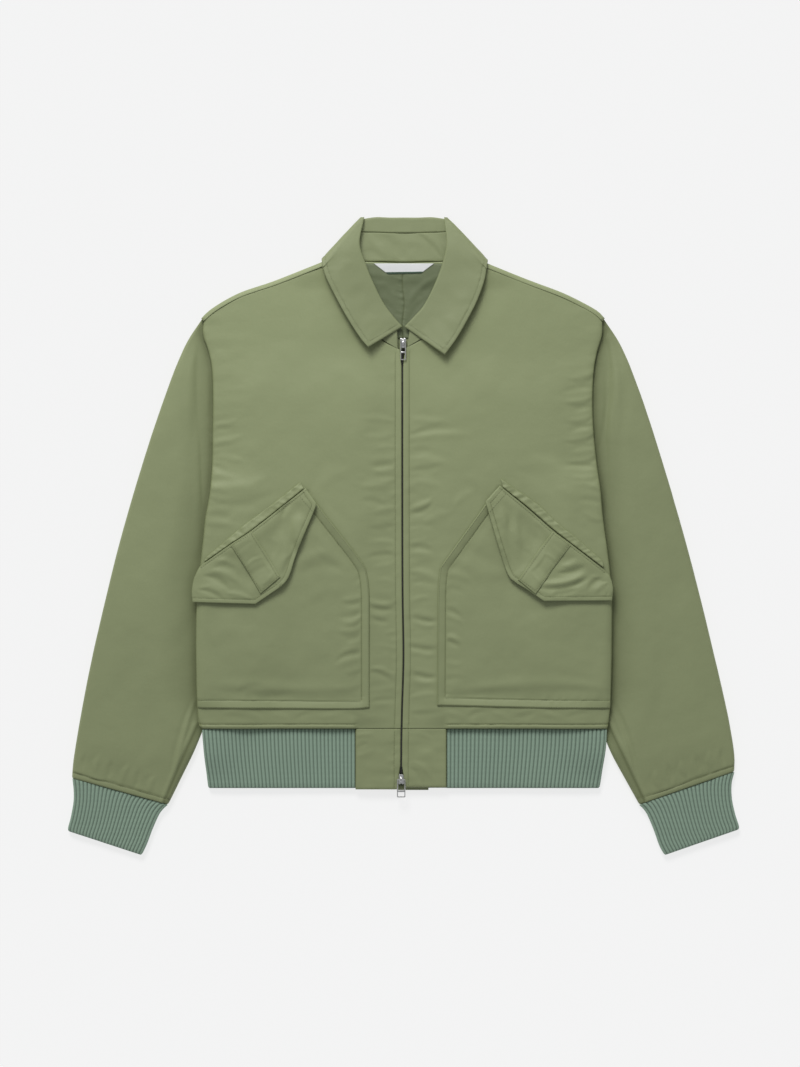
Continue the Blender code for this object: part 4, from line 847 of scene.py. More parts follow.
def wave_node(nodes, links, where, per_metre, axis, turn=0.0, distort=0.0):
    """Bands across one axis, this many to the metre."""
    mapping = nodes.new("ShaderNodeMapping")
    mapping.inputs["Rotation"].default_value = (0, 0, turn)
    links.new(where, mapping.inputs["Vector"])
    w = nodes.new("ShaderNodeTexWave")
    w.wave_type = "BANDS"
    w.bands_direction = axis
    w.wave_profile = "SIN"
    w.inputs["Scale"].default_value = per_metre * math.pi / 10
    w.inputs["Distortion"].default_value = distort
    w.inputs["Detail"].default_value = 0.0
    links.new(mapping.outputs["Vector"], w.inputs["Vector"])
    return w.outputs["Fac"]


def math_node(nodes, links, op, a, b):
    m = nodes.new("ShaderNodeMath")
    m.operation = op
    for k, v in enumerate((a, b)):
        if isinstance(v, (int, float)):
            m.inputs[k].default_value = v
        else:
            links.new(v, m.inputs[k])
    return m.outputs[0]


def mix_colour(nodes, links, share, a, b, blend="MIX"):
    m = nodes.new("ShaderNodeMix")
    m.data_type = "RGBA"
    m.blend_type = blend
    m.clamp_factor = True
    if isinstance(share, (int, float)):
        m.inputs[0].default_value = share
    else:
        links.new(share, m.inputs[0])
    for k, v in ((6, a), (7, b)):
        if isinstance(v, tuple):
            m.inputs[k].default_value = (*v, 1)
        else:
            links.new(v, m.inputs[k])
    return m.outputs[2]


def bump_node(nodes, links, height, strength, distance, before=None):
    b = nodes.new("ShaderNodeBump")
    b.inputs["Strength"].default_value = strength
    b.inputs["Distance"].default_value = distance
    links.new(height, b.inputs["Height"])
    if before is not None:
        links.new(before, b.inputs["Normal"])
    return b.outputs["Normal"]


def spread(nodes, links, value, low, high):
    """0 to 1 as low to high."""
    r = nodes.new("ShaderNodeMapRange")
    r.inputs["To Min"].default_value = low
    r.inputs["To Max"].default_value = high
    links.new(value, r.inputs["Value"])
    return r.outputs["Result"]


# Share of painted shade at each point, read from the 'seam' attribute.
def painted_shade_share(nodes, strength_of="seam"):
    a = nodes.new("ShaderNodeAttribute")
    a.attribute_name = strength_of
    return a.outputs["Fac"]


def nylon(name, colour, dark=0.62, weave=2300.0, turn=0.0, rough=0.55, sheen=0.25, crinkle=0.35):
    """Lightly padded matt nylon: a fine plain weave and faint crinkles, with painted shade mixed into the colour by the
    'seam' attribute at seams and edges, under the collar tips and on the sleeves beside the body.
    """
    mat, nodes, links, shader, where = new_material(name)
    light = tuple(min(c * 1.07, 1) for c in colour)
    low = tuple(c * 0.94 for c in colour)
    patch = noise_node(nodes, links, where, 7.0, 3.0, 0.55)
    base = mix_colour(nodes, links, spread(nodes, links, patch, 0.0, 1.0), low, light)
    warp = wave_node(nodes, links, where, weave, "X", turn)
    weft = wave_node(nodes, links, where, weave, "Y", turn)
    cloth = math_node(nodes, links, "MULTIPLY", warp, weft)
    base = mix_colour(nodes, links, math_node(nodes, links, "MULTIPLY", cloth, 0.10), base, tuple(c * 0.7 for c in colour))
    slub = noise_node(nodes, links, where, 420.0, 2.0, 0.6, (1.0, 0.12, 1.0))
    base = mix_colour(nodes, links, math_node(nodes, links, "MULTIPLY", slub, 0.10), base, tuple(c * 0.8 for c in colour))
    # painted shade: the 'seam' attribute darkens the colour towards an olive shadow tone, as deep as dark sets
    base = mix_colour(nodes, links, math_node(nodes, links, "MULTIPLY", painted_shade_share(nodes), 0.55), base, (colour[0] * dark * 0.76, colour[1] * dark * 0.78, colour[2] * dark * 0.48))
    links.new(base, shader.inputs["Base Color"])
    links.new(spread(nodes, links, noise_node(nodes, links, where, 26.0, 3.0), rough - 0.05, rough + 0.06), shader.inputs["Roughness"])
    shader.inputs["Specular IOR Level"].default_value = 0.32
    shader.inputs["Sheen Weight"].default_value = sheen
    shader.inputs["Sheen Roughness"].default_value = 0.45
    shader.inputs["Sheen Tint"].default_value = (*[min(c * 2.0, 1) for c in colour], 1)
    fold = noise_node(nodes, links, where, 55.0, 4.0, 0.55)
    normal = bump_node(nodes, links, fold, crinkle, 0.0012)
    small = noise_node(nodes, links, where, 240.0, 3.0, 0.6)
    normal = bump_node(nodes, links, small, crinkle * 0.6, 0.0003, normal)
    normal = bump_node(nodes, links, cloth, 0.35, 0.00008, normal)
    links.new(normal, shader.inputs["Normal"])
    return mat


def knit(name, ridge, groove):
    """Rib knit: ridges of small knitted loops, with painted shade in the grooves between them, where the 'seam'
    attribute mixes in the dark groove colour.
    """
    mat, nodes, links, shader, where = new_material(name)
    share = painted_shade_share(nodes)
    patch = noise_node(nodes, links, where, 12.0, 3.0)
    top = mix_colour(nodes, links, patch, tuple(c * 0.94 for c in ridge), tuple(min(c * 1.06, 1) for c in ridge))
    # painted shade: the grooves take the dark groove colour
    base = mix_colour(nodes, links, share, top, groove)
    loops = wave_node(nodes, links, where, 640.0, "Y", 0.0, 0.6)
    base = mix_colour(nodes, links, math_node(nodes, links, "MULTIPLY", loops, 0.22), base, tuple(c * 0.62 for c in ridge))
    fuzz = noise_node(nodes, links, where, 900.0, 3.0, 0.7)
    base = mix_colour(nodes, links, math_node(nodes, links, "MULTIPLY", fuzz, 0.14), base, tuple(min(c * 1.3, 1) for c in ridge))
    links.new(base, shader.inputs["Base Color"])
    shader.inputs["Roughness"].default_value = 0.88
    shader.inputs["Specular IOR Level"].default_value = 0.2
    shader.inputs["Sheen Weight"].default_value = 0.35
    shader.inputs["Sheen Roughness"].default_value = 0.6
    normal = bump_node(nodes, links, loops, 0.6, 0.0003)
    normal = bump_node(nodes, links, fuzz, 0.4, 0.00015, normal)
    links.new(normal, shader.inputs["Normal"])
    return mat


def metal(name, colour, rough, wear=0.25):
    mat, nodes, links, shader, where = new_material(name)
    patch = noise_node(nodes, links, where, 600.0, 3.0)
    links.new(mix_colour(nodes, links, patch, tuple(c * (1 - wear) for c in colour), colour), shader.inputs["Base Color"])
    links.new(spread(nodes, links, noise_node(nodes, links, where, 900.0, 3.0), rough * 0.7, rough * 1.4), shader.inputs["Roughness"])
    shader.inputs["Metallic"].default_value = 1.0
    links.new(bump_node(nodes, links, noise_node(nodes, links, where, 1500.0, 3.0), 0.12, 0.0001), shader.inputs["Normal"])
    return mat


def thread(name, colour):
    mat, nodes, links, shader, where = new_material(name)
    ply = wave_node(nodes, links, where, 1800.0, "X", 0.7)
    links.new(mix_colour(nodes, links, math_node(nodes, links, "MULTIPLY", ply, 0.3), colour, tuple(c * 0.6 for c in colour)), shader.inputs["Base Color"])
    shader.inputs["Roughness"].default_value = 0.55
    links.new(bump_node(nodes, links, ply, 0.4, 0.0001), shader.inputs["Normal"])
    return mat


CLOTH = (0.266, 0.303, 0.158)
shell_cloth = nylon("shell_nylon", CLOTH)
# the sleeves' painted shade is set darker, dark=0.36, than the shell's
sleeve_cloth = nylon("sleeve_nylon", tuple(c * 0.98 for c in CLOTH), dark=0.36, turn=0.25)
patch_cloth = nylon("pocket_nylon", tuple(c * 0.985 for c in CLOTH), turn=0.04)
flap_cloth = nylon("flap_nylon", tuple(c * 0.985 for c in CLOTH), turn=0.6)
# the collar's cloth is the shell's colour darkened to 0.845 of it: painted shade, so the collar reads darker than the
# body
collar_cloth = nylon("collar_nylon", tuple(c * 0.845 for c in CLOTH), turn=0.3, crinkle=0.22)
lining_cloth = nylon("lining_twill", (0.135, 0.162, 0.086), weave=1500.0, turn=0.785, rough=0.5, crinkle=0.5)
guard_cloth = nylon("guard_nylon", tuple(c * 0.9 for c in CLOTH))
tape_cloth = nylon("tape_weave", (0.10, 0.12, 0.07), weave=1100.0, turn=0.785, rough=0.7)
rib_knit = knit("rib_knit", (0.272, 0.384, 0.290), (0.072, 0.108, 0.078))
label_cloth = nylon("label_tape", (0.66, 0.67, 0.67), dark=0.25, weave=1700.0, rough=0.6, sheen=0.1, crinkle=0.1)
label_edge = nylon("label_edge", (0.05, 0.085, 0.055), weave=1700.0, rough=0.7)
cloth_thread = thread("shell_thread", (0.225, 0.255, 0.135))
nickel = metal("nickel", (0.80, 0.80, 0.79), 0.22)
teeth_metal = metal("gunmetal", (0.10, 0.10, 0.095), 0.42)


# ---- front panels ---------------------------------------------------------------------------------------------
def shoulder_line(side):
    col = 0 if side < 0 else 2
    line = curve([row[col:col + 2] for row in SHOULDER])
    d = np.gradient(line, axis=0)
    d /= np.linalg.norm(d, axis=1)[:, None]
    out = np.stack([-d[:, 1], d[:, 0]], axis=1) * side
    return line, out


def fold_line(side, extra=0.0):
    line, out = shoulder_line(side)
    return line - out * (FOLD_RADIUS + BODY_WALL / 2 + extra)


def pocket_spec(side):
    return POCKET_RIGHT if side < 0 else POCKET_LEFT


def pocket_outline(side):
    """The patch's edges: bottom from the side seam, up the zip side, and the slanted mouth back down."""
    spec = pocket_spec(side)
    z = spec["zip_side"]
    return dict(bottom=curve(spec["bottom"]), zip_side=runs(z[:4], z[3:6], z[5:]), mouth=curve(spec["mouth"]),
                side=curve(spec["side"]))


def over_pocket(side, x, y, soft=6.0):
    """1 on the pocket patch and 0 off it."""
    spec = pocket_outline(side)
    loop = np.vstack([spec["bottom"], spec["zip_side"][1:], spec["mouth"][::-1][1:], spec["side"][::-1][1:]])
    inside = np.zeros(np.shape(x), bool)
    for a, b in zip(loop, np.roll(loop, -1, axis=0)):
        if abs(b[1] - a[1]) < 1e-9:
            continue
        cross = (a[1] > y) != (b[1] > y)
        inside ^= cross & (x < (b[0] - a[0]) * (y - a[1]) / (b[1] - a[1]) + a[0])
    gap, _ = beside(x, y, at_shares(loop, np.linspace(0, 1, 60)))
    return np.where(inside, smooth(np.abs(gap) / soft), 0.0)


def front(side):
    col = 1 if side < 0 else 3
    rows = COLLAR_RIGHT if side < 0 else COLLAR_LEFT
    base = fold_line(side, SHOULDER_RETURN + 0.15)
    neck = [row[7:9] for row in rows]
    neck[0] = (float(zip_edge(neck[0][1], side)), neck[0][1])
    top = np.vstack([curve(neck[:-2]), at_shares(base, np.linspace(0, 1, 60))])
    ys = np.linspace(HEM_Y, top[0][1], 120)
    zip_side = np.stack([zip_edge(ys, side), ys], axis=1)
    edge = curve([(row[col], row[0]) for row in SIDE[:-1]] + [tuple(top[-1])])
    bottom = np.array([zip_side[0], edge[0]])
    u = graded(255, 3.1, starts=[(0, 4), (PLACKET - 1.6, 4)], ends=[(0, 12)], fine=0.6)
    v = graded(560, 2.8, starts=[(0, 3), (HEM_STITCH, 4)], ends=[(0, 8)], fine=0.6)
    grid = coons(bottom, top, zip_side, edge, u, v)
    x, y = grid[..., 0].ravel(), grid[..., 1].ravel()
    z = front_middle(x, y)
    faces = grid_faces(len(v), len(u))
    if side < 0:
        faces = faces[:, ::-1]
    from_zip = np.abs(x - zip_edge(y, side))
    from_edge, along_edge = beside(x, y, edge)
    from_edge = np.abs(from_edge)
    from_top = np.abs(beside(x, y, top)[0])
    clear = 1 - over_pocket(side, x, y)
    relief = 0.8 * noise2(x, y, 85, 1 + side) + 0.42 * noise2(x, y, 34, 5 + side) + 0.16 * noise2(x, y, 14, 9 + side)
    relief += 0.66 * creased(x, y, FRONT_RIGHT_CREASES) if side < 0 else 0.85 * creased(x, y, FRONT_LEFT_CREASES)
    drawn = np.exp(-(from_zip / 55.0) ** 2) * smooth((174 - y) / 60) + 0.8 * np.exp(-(from_edge / 50.0) ** 2)
    relief += drawn * (0.34 * noise2(x * 0.3, y, 9, 221 + side) + 0.16 * noise2(x * 0.4, y, 4.2, 223 + side))
    relief += 3.4 * smooth((244.5 - y) / 75) * smooth(from_zip / 60) * smooth(from_edge / 60) - 0.4
    relief *= smooth(from_zip / PLACKET * 0.8) * 0.85 + 0.15
    over_rib = smooth((np.abs(x) - np.where(x < 0, -TAB_RIGHT_X, TAB_LEFT_X) + 2) / 4)
    relief *= clear * (1 - (1 - over_rib) * smooth(1 - (y - HEM_Y) / 18))
    placket = np.abs(x - zip_x(y)) - PLACKET
    relief += seam_relief(placket, y, 21 + side, groove=0.42, pull=0.26, reach=12.0, cell=6.0, wide=0.8)
    relief += 0.12 * smooth(-placket / 2.0)
    relief += edge_round(from_zip, 1.6, 0.9)
    hem = y - HEM_Y - HEM_STITCH
    relief += seam_relief(hem, x, 31 + side, groove=0.75, pull=0.8, reach=9.0, cell=7.0, wide=0.9) * over_rib
    relief += 0.35 * over_rib * np.exp(-((y - HEM_Y - 2.6) / 2.0) ** 2)
    relief += edge_round(y - HEM_Y, 3.0, 1.4) * over_rib + edge_round(y - HEM_Y, 1.4, 0.5) * (1 - over_rib)
    body = smooth((y - -11.5) / 20)
    relief += edge_round(from_edge, 10.0, 2.4) * body + edge_round(from_edge, 8.0, 2.0) * (1 - body)
    strong = body * smooth((251 - y) / 60)
    relief += seam_relief(from_edge, along_edge, 41 + side, groove=0.0, pull=0.42, reach=11.0, cell=5.0) * (0.35 + 0.65 * strong)
    relief += edge_round(from_top, 1.6, 0.5)
    # painted shade: darker along the placket and hem stitching, at the side and armhole edge and at the shoulder seam
    shade = 0.3 * np.exp(-(placket / 0.8) ** 2) + 0.75 * over_rib * np.exp(-(hem / 0.9) ** 2) + 0.7 * np.exp(-(from_edge / 1.5) ** 2) + 0.25 * np.exp(-(from_top / 0.7) ** 2)
    # painted shadow of the collar leaf: the front is darkened near the leaf's edge and tip
    leaf = curve([row[2:4] for row in rows])
    tip = np.array([rows[0][0:2], rows[0][2:4]])
    under_leaf = np.minimum(np.abs(beside(x, y, leaf)[0]), np.abs(beside(x, y, tip)[0]))
    shade += 0.55 * np.exp(-(under_leaf / 9.0) ** 1.3)
    name = "look_front_right" if side < 0 else "look_front_left"
    obj = shell(name, np.stack([x, y, z], axis=1), faces, BODY_WALL, shell_cloth, top=np.maximum(relief, -3.2), shade=np.clip(shade, 0, 1))
    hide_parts("front_right" if side < 0 else "front_left")
    return obj


def back():
    right, left = fold_line(-1), fold_line(1)
    neck = curve([row[4:6] for row in COLLAR_BACK])
    right, neck, left = at_shares(right, np.linspace(1, 0, 42)), at_shares(neck, np.linspace(0, 1, 30)), at_shares(left, np.linspace(0, 1, 42))
    top = np.vstack([right, neck, left])
    shares = lengths(top) / lengths(top)[-1]
    u = shares
    v = graded(600, 5.0, starts=[(0, 6)], ends=[(0, 8)], fine=1.5)
    edge_r = curve([(row[2], row[0]) for row in SIDE[:-1]] + [tuple(top[0])])
    edge_l = curve([(row[4], row[0]) for row in SIDE[:-1]] + [tuple(top[-1])])
    bottom = np.array([edge_r[0], edge_l[0]])
    grid = coons(bottom, top, edge_r, edge_l, u, v)
    x, y = grid[..., 0].ravel(), grid[..., 1].ravel()
    points = np.stack([x, y, back_middle(x, y)], axis=1)
    faces = [grid_faces(len(v), len(u))]
    last = (len(v) - 1) * len(u)
    turns = list(np.radians(np.arange(15, 181, 15))) + ["end"]
    for side in (-1, 1):
        line, out = shoulder_line(side)
        share = np.linspace(1, 0, 42) if side < 0 else np.linspace(0, 1, 42)
        base = at_shares(fold_line(side), share)
        outs = at_shares(out, share) if False else np.stack([np.interp(share * lengths(line)[-1], lengths(line), out[:, k]) for k in (0, 1)], axis=1)
        outs /= np.linalg.norm(outs, axis=1)[:, None]
        at = last + (np.arange(42) if side < 0 else len(u) - 42 + np.arange(42))
        zb = back_middle(base[:, 0], base[:, 1])
        for turn in turns:
            a = math.pi if turn == "end" else turn
            xy = base + outs * (FOLD_RADIUS * math.sin(a) - (SHOULDER_RETURN if turn == "end" else 0))
            now = len(points) + np.arange(42)
            points = np.vstack([points, np.column_stack([xy, zb + FOLD_RADIUS * (1 - math.cos(a))])])
            faces.append(np.stack([at[:-1], at[1:], now[1:], now[:-1]], axis=1))
            at = now
    faces = np.vstack(faces)
    px, py = points[:, 0], points[:, 1]
    dips = creased(px, py, BACK_CREASES) + 0.5 * noise2(px, py, 60, 77)
    rim = np.minimum(np.abs(px - column(SIDE, 0, 2, py)), np.abs(column(SIDE, 0, 4, py) - px))
    under = -np.clip(dips, 0, 1.6) + edge_round(rim, 8.0, 1.4) + edge_round(py - HEM_Y, 4.0, 1.4)
    shade = np.where(points[:, 2] > 8.0, 0.0, 0.0)
    obj = shell("look_back", points, faces, BODY_WALL, shell_cloth, under=under, shade=shade)
    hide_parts("back")
    return obj


# ---- sleeves and cuffs ----------------------------------------------------------------------------------------------
def flat_ring(line, height, low, thick, k_top, k_turn, k_under=None):
    """Middle line round a flattened tube: over the top from outer to inner fold, and back underneath."""
    far = lengths(line)

    def at(s):
        return np.stack([np.interp(s, far, line[:, k]) for k in (0, 1)], axis=-1)

    ends = []
    for s, sign in ((0.0, 1), (far[-1], -1)):
        p = at(s + sign * 5)
        radius = (float(height(p[0], p[1])) - low) / 2
        ends.append((s + sign * (radius + thick / 2), radius))
    (s0, r0), (s1, r1) = ends
    across = np.linspace(s0, s1, k_top + 1)
    p = at(across)
    z = height(p[:, 0], p[:, 1])
    z[0], z[-1] = low + 2 * r0, low + 2 * r1
    ring = [np.column_stack([p, z])]
    a = math.pi * np.arange(1, k_turn + 1) / (k_turn + 1)
    for s, r, sign in ((s1, r1, 1), (s0, r0, -1)):
        q = at(s)
        out = (at(min(s + 3, far[-1])) - at(s - 3)) if sign > 0 else (at(s + 3) - at(max(s - 3, 0)))
        out = sign * out / np.linalg.norm(out)
        t = a if sign > 0 else math.pi - a
        ring.append(np.column_stack([q + out * (r * np.sin(t))[:, None], low + r + r * np.cos(t)]))
        if sign > 0:
            below = np.linspace(s1, s0, (k_under or k_top) + 1)
            ring.append(np.column_stack([at(below), np.full(len(below), low)]))
    return np.vstack(ring)


def sleeve(side):
    rows = SLEEVE_RIGHT if side < 0 else SLEEVE_LEFT
    edge = 1 if side < 0 else 3
    which, col = (0, 2) if side < 0 else (1, 4)

    def height(x, y):
        away = (x - column(SIDE, 0, edge, y)) * side
        away = np.where(y < HEM_Y, 60 - (60 - np.maximum(away, 0)) * smooth((y - HEM_Y + 60) / 60), away)
        crown = SLEEVE_CROWN * np.clip(1 - ((y + 60) / 290) ** 2, 0, None) * smooth(away / 45)
        return SLEEVE_LOW - SLEEVE_WALL / 2 + (SLEEVE_HIGH - SLEEVE_LOW) * smooth(away / 45) + crown

    seam = [(row[col] - side * 0.8, row[0]) for row in SIDE if 38.5 < row[0] < 270]
    head = (ARM_START[which][0] - side * 3.2, ARM_START[which][1] + HEAD_RISE)
    arm = curve([head] + seam[::-1] + list(ARM_END[which]))
    outer = curve([head] + [row[0:2] for row in rows])
    inner = curve([ARM_END[which][-1]] + [row[2:4] for row in rows])
    end = np.array([rows[-1][0:2], rows[-1][2:4]])
    v = graded(560, 3.3, starts=[(0, 12)], ends=[(0, 3), (CUFF_STITCH, 4)], fine=0.8)
    u = np.linspace(0, 1, 61)
    # the armhole's edge is one end of the patch, the cuff's the other
    grid = coons(arm, end, outer, inner, u, v)
    rings = [flat_ring(row, height, SLEEVE_WALL / 2, SLEEVE_WALL, 84, 9, 28) for row in grid]
    count = len(rings[0])
    points = np.vstack(rings)
    faces = grid_faces(len(rings), count, wrap=True)
    middle = points.reshape(len(rings), count, 3).mean(axis=1)
    probe = points[count * (len(rings) // 2)]
    normals = point_normals(points, faces)
    if np.dot(normals[count * (len(rings) // 2) + 20], (0, 0, 1)) < 0:
        faces = faces[:, ::-1]
        normals = -normals
    x, y = points[:, 0], points[:, 1]
    up = smooth((normals[:, 2] + 0.15) * 1.4)
    down = smooth((-normals[:, 2] + 0.15) * 1.4)
    relief = 0.6 * noise2(x, y, 85, 61 + side) + 0.35 * noise2(x, y, 34, 65 + side) + 0.12 * noise2(x, y, 14, 69 + side)
    relief += creased(x, y, SLEEVE_RIGHT_CREASES if side < 0 else SLEEVE_LEFT_CREASES)
    cuff, along = beside(x, y, end)
    cuff = np.abs(cuff)
    uneven = 0.9 * noise1(along, 24, 75 + side) + 0.5 * noise1(along, 9, 77 + side)
    relief += seam_relief(cuff - CUFF_STITCH + uneven, along, 71 + side, groove=0.9, pull=0.9, reach=16.0, cell=10.0, wide=0.9)
    hole, run = beside(x, y, arm)
    hole = np.abs(hole)
    relief += seam_relief(hole, run, 81 + side, groove=0.0, pull=0.7, reach=14.0, cell=11.0)
    away = (x - column(SIDE, 0, edge, y)) * side
    free = smooth((HEM_Y + 45 - y) / 60)
    far = away + (60.0 - away) * free
    share = np.tile(np.concatenate([np.linspace(0, 1, 85), np.zeros(count - 85)]), len(rings))
    relief += 3.6 * np.clip(1 - (2 * share - 1) ** 2, 0, None) ** 0.8 * smooth((far - 6) / 50) * smooth(cuff / 60)
    relief -= 2.2 * smooth(1 - np.maximum(far, 0) / 44.0) * smooth((y - -82) / 60) * (1 + 0.25 * noise1(y, 38, 3 + side))
    strip_gap = beside(x, y, curve(UNDERARM_RIGHT if side < 0 else UNDERARM_LEFT))[0] * -side
    relief += smooth((HEM_Y + 12 - y) / 10) * (-1.0 * np.exp(-((strip_gap - 0.6) / 1.6) ** 2) + 0.9 * np.exp(-((strip_gap + 3.2) / 2.4) ** 2) - 1.0 * smooth((strip_gap - 1) / 5))
    relief = relief * up
    # the underside: the same kinds of fold, cut in only, because it lies on a surface
    relief -= down * np.clip(0.8 * noise2(x, y, 55, 91 + side) + 0.5 * noise2(x, y, 22, 95 + side), 0, 1.2)
    relief += edge_round(cuff, 3.5, 1.3)
    # painted shade: a dark line at the cuff stitching and at the cuff seam
    shade = 1.25 * np.exp(-((cuff - CUFF_STITCH + uneven) / 1.15) ** 2) * (0.8 + 0.3 * noise1(along, 8, 3)) + 0.25 * np.exp(-(cuff / 1.0) ** 2)
    # painted shadow of the body's side edge on the top of the sleeve beside it, fading over a few centimetres
    shade += up * (1 - free) * (0.85 * np.exp(-(np.maximum(away, 0) / 17.0) ** 1.1) + 0.5 * np.exp(-(np.maximum(away, 0) / 6.0) ** 2))
    # painted shade along the underarm seam, and on the strip beyond it
    under_seam, _ = beside(x, y, curve(UNDERARM_RIGHT if side < 0 else UNDERARM_LEFT))
    under_seam = under_seam * -side
    edge_strip = smooth((HEM_Y + 12 - y) / 10)
    shade += up * edge_strip * (1.1 * np.exp(-((under_seam - 0.6) / 1.5) ** 2) + 0.4 * smooth(under_seam / 3.0))
    name = "look_sleeve_right" if side < 0 else "look_sleeve_left"
    obj = shell(name, points, faces, SLEEVE_WALL, sleeve_cloth, top=np.maximum(relief, -2.4), shade=np.clip(shade, 0, 1))
    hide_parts("sleeve_right" if side < 0 else "sleeve_left")
    return obj


def rib_wave(phase):
    """Section of the rib knit over a whole number of ribs: 1 on a ridge, 0 in a groove."""
    return np.abs(np.cos(np.pi * phase)) ** 0.75


def cuff(side):
    rows = CUFF_RIGHT if side < 0 else CUFF_LEFT
    outer, inner = curve([row[0:2] for row in rows]), curve([row[2:4] for row in rows])
    v = graded(62, 3.2, starts=[(0, 4)], ends=[(0, 5)], fine=0.8)
    o, i = at_shares(outer, v), at_shares(inner, v)
    per, ribs_top, ribs_turn = 7, 22, 2
    rings = [flat_ring(np.array([a, b]), lambda x, y: np.full(np.shape(x), 6.8), CUFF_WALL / 2, CUFF_WALL, ribs_top * per, ribs_turn * per - 1)
             for a, b in zip(o, i)]
    count = len(rings[0])
    points = np.vstack(rings)
    faces = grid_faces(len(rings), count, wrap=True)
    normals = point_normals(points, faces)
    if normals[count * (len(rings) // 2) + 20][2] < 0:
        faces = faces[:, ::-1]
    index = np.tile(np.arange(count), len(rings))
    place = np.repeat(np.asarray(v) * 62, count)
    wave = rib_wave(index / per + 0.5)
    deep = RIB_DEEP * smooth((place + 0.5) / 3.0)
    bottom = edge_round(62 - place, 4.0, 1.5)
    relief = deep * (wave - 0.55) + bottom + 0.25 * noise1(index / per, 3.0, 7 + side) + 0.2 * noise1(place + index * 0.3, 14.0, 9)
    low = points[:, 2] < CUFF_WALL / 2 + 0.4
    relief = np.where(low, np.minimum(relief, 0.0), relief)
    name = "look_cuff_right" if side < 0 else "look_cuff_left"
    obj = shell(name, points, faces, CUFF_WALL, rib_knit, top=np.maximum(relief, -1.6), shade=np.clip(1 - wave * 1.15, 0, 1))
    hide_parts("cuff_right" if side < 0 else "cuff_left")
    return obj


# ---- hem --------------------------------------------------------------------------------------------------------------
def rib_band():
    length = HEM_Y - SEAM - RIB_BOTTOM_Y
    v = graded(length, 6.0, starts=[(0, 5)], ends=[(0, 5)], fine=0.95)
    shares = None
    rows = []
    for t in v:
        y = RIB_BOTTOM_Y + length * t
        right, left = float(column(RIB, 0, 1, y)), float(column(RIB, 0, 2, y))

        def low(x):
            return RIB_WALL / 2 + BACK_LIFT * sleeve_lift(x, y)

        def high(x):
            return RIB_WALL * 1.5 + LAY_GAP + FRONT_LIFT * sleeve_lift(x, y)

        rr = (float(high(right + 4)) - float(low(right + 4))) / 2
        rl = (float(high(left - 4)) - float(low(left - 4))) / 2
        x0, x1 = right + rr + RIB_WALL / 2, left - rl - RIB_WALL / 2
        per = 6
        a = np.linspace(TAB_RIGHT_X - SEAM, x0, 39 * per + 1)
        parts = [np.column_stack([a, np.full(len(a), y), high(a)])]
        k = np.radians(np.linspace(0, 180, 2 * per + 1))[1:-1]
        lo0, lo1 = float(low(x0)), float(low(x1))
        parts.append(np.column_stack([x0 - rr * np.sin(k), np.full(len(k), y), lo0 + rr + rr * np.cos(k)]))
        b = np.linspace(x0, x1, 104 * per + 1)
        parts.append(np.column_stack([b, np.full(len(b), y), low(b)]))
        parts.append(np.column_stack([x1 + rl * np.sin(k), np.full(len(k), y), lo1 + rl - rl * np.cos(k)]))
        c = np.linspace(x1, TAB_LEFT_X + SEAM, 39 * per + 1)
        parts.append(np.column_stack([c, np.full(len(c), y), high(c)]))
        rows.append(np.vstack(parts))
    count = len(rows[0])
    points = np.vstack(rows)
    faces = grid_faces(len(rows), count)
    normals = point_normals(points, faces)
    if normals[count * 3 + 20][2] < 0:
        faces = faces[:, ::-1]
    index = np.tile(np.arange(count), len(rows))
    place = np.repeat(np.asarray(v) * length, count)
    wave = rib_wave(index / per + 0.5)
    deep = RIB_DEEP * smooth((length - place + 0.5) / 2.5)
    relief = deep * (wave - 0.55) + edge_round(place, 4.0, 1.6) + 0.3 * noise1(index / per, 4.0, 3)
    relief += edge_round(length - place, 2.5, 0.8)
    front_side = points[:, 2] > RIB_WALL * 1.5 + LAY_GAP - 1.5
    relief += np.where(front_side, 0.5 * noise2(points[:, 0], points[:, 1], 45, 12), 0.0)
    relief = np.where(points[:, 2] < RIB_WALL / 2 + 0.4, np.minimum(relief, 0.0), relief)
    obj = shell("look_rib_hem", points, faces, RIB_WALL, rib_knit, top=np.maximum(relief, -1.8), shade=np.clip(1 - wave * 1.15, 0, 1))
    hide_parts("rib_hem")
    return obj


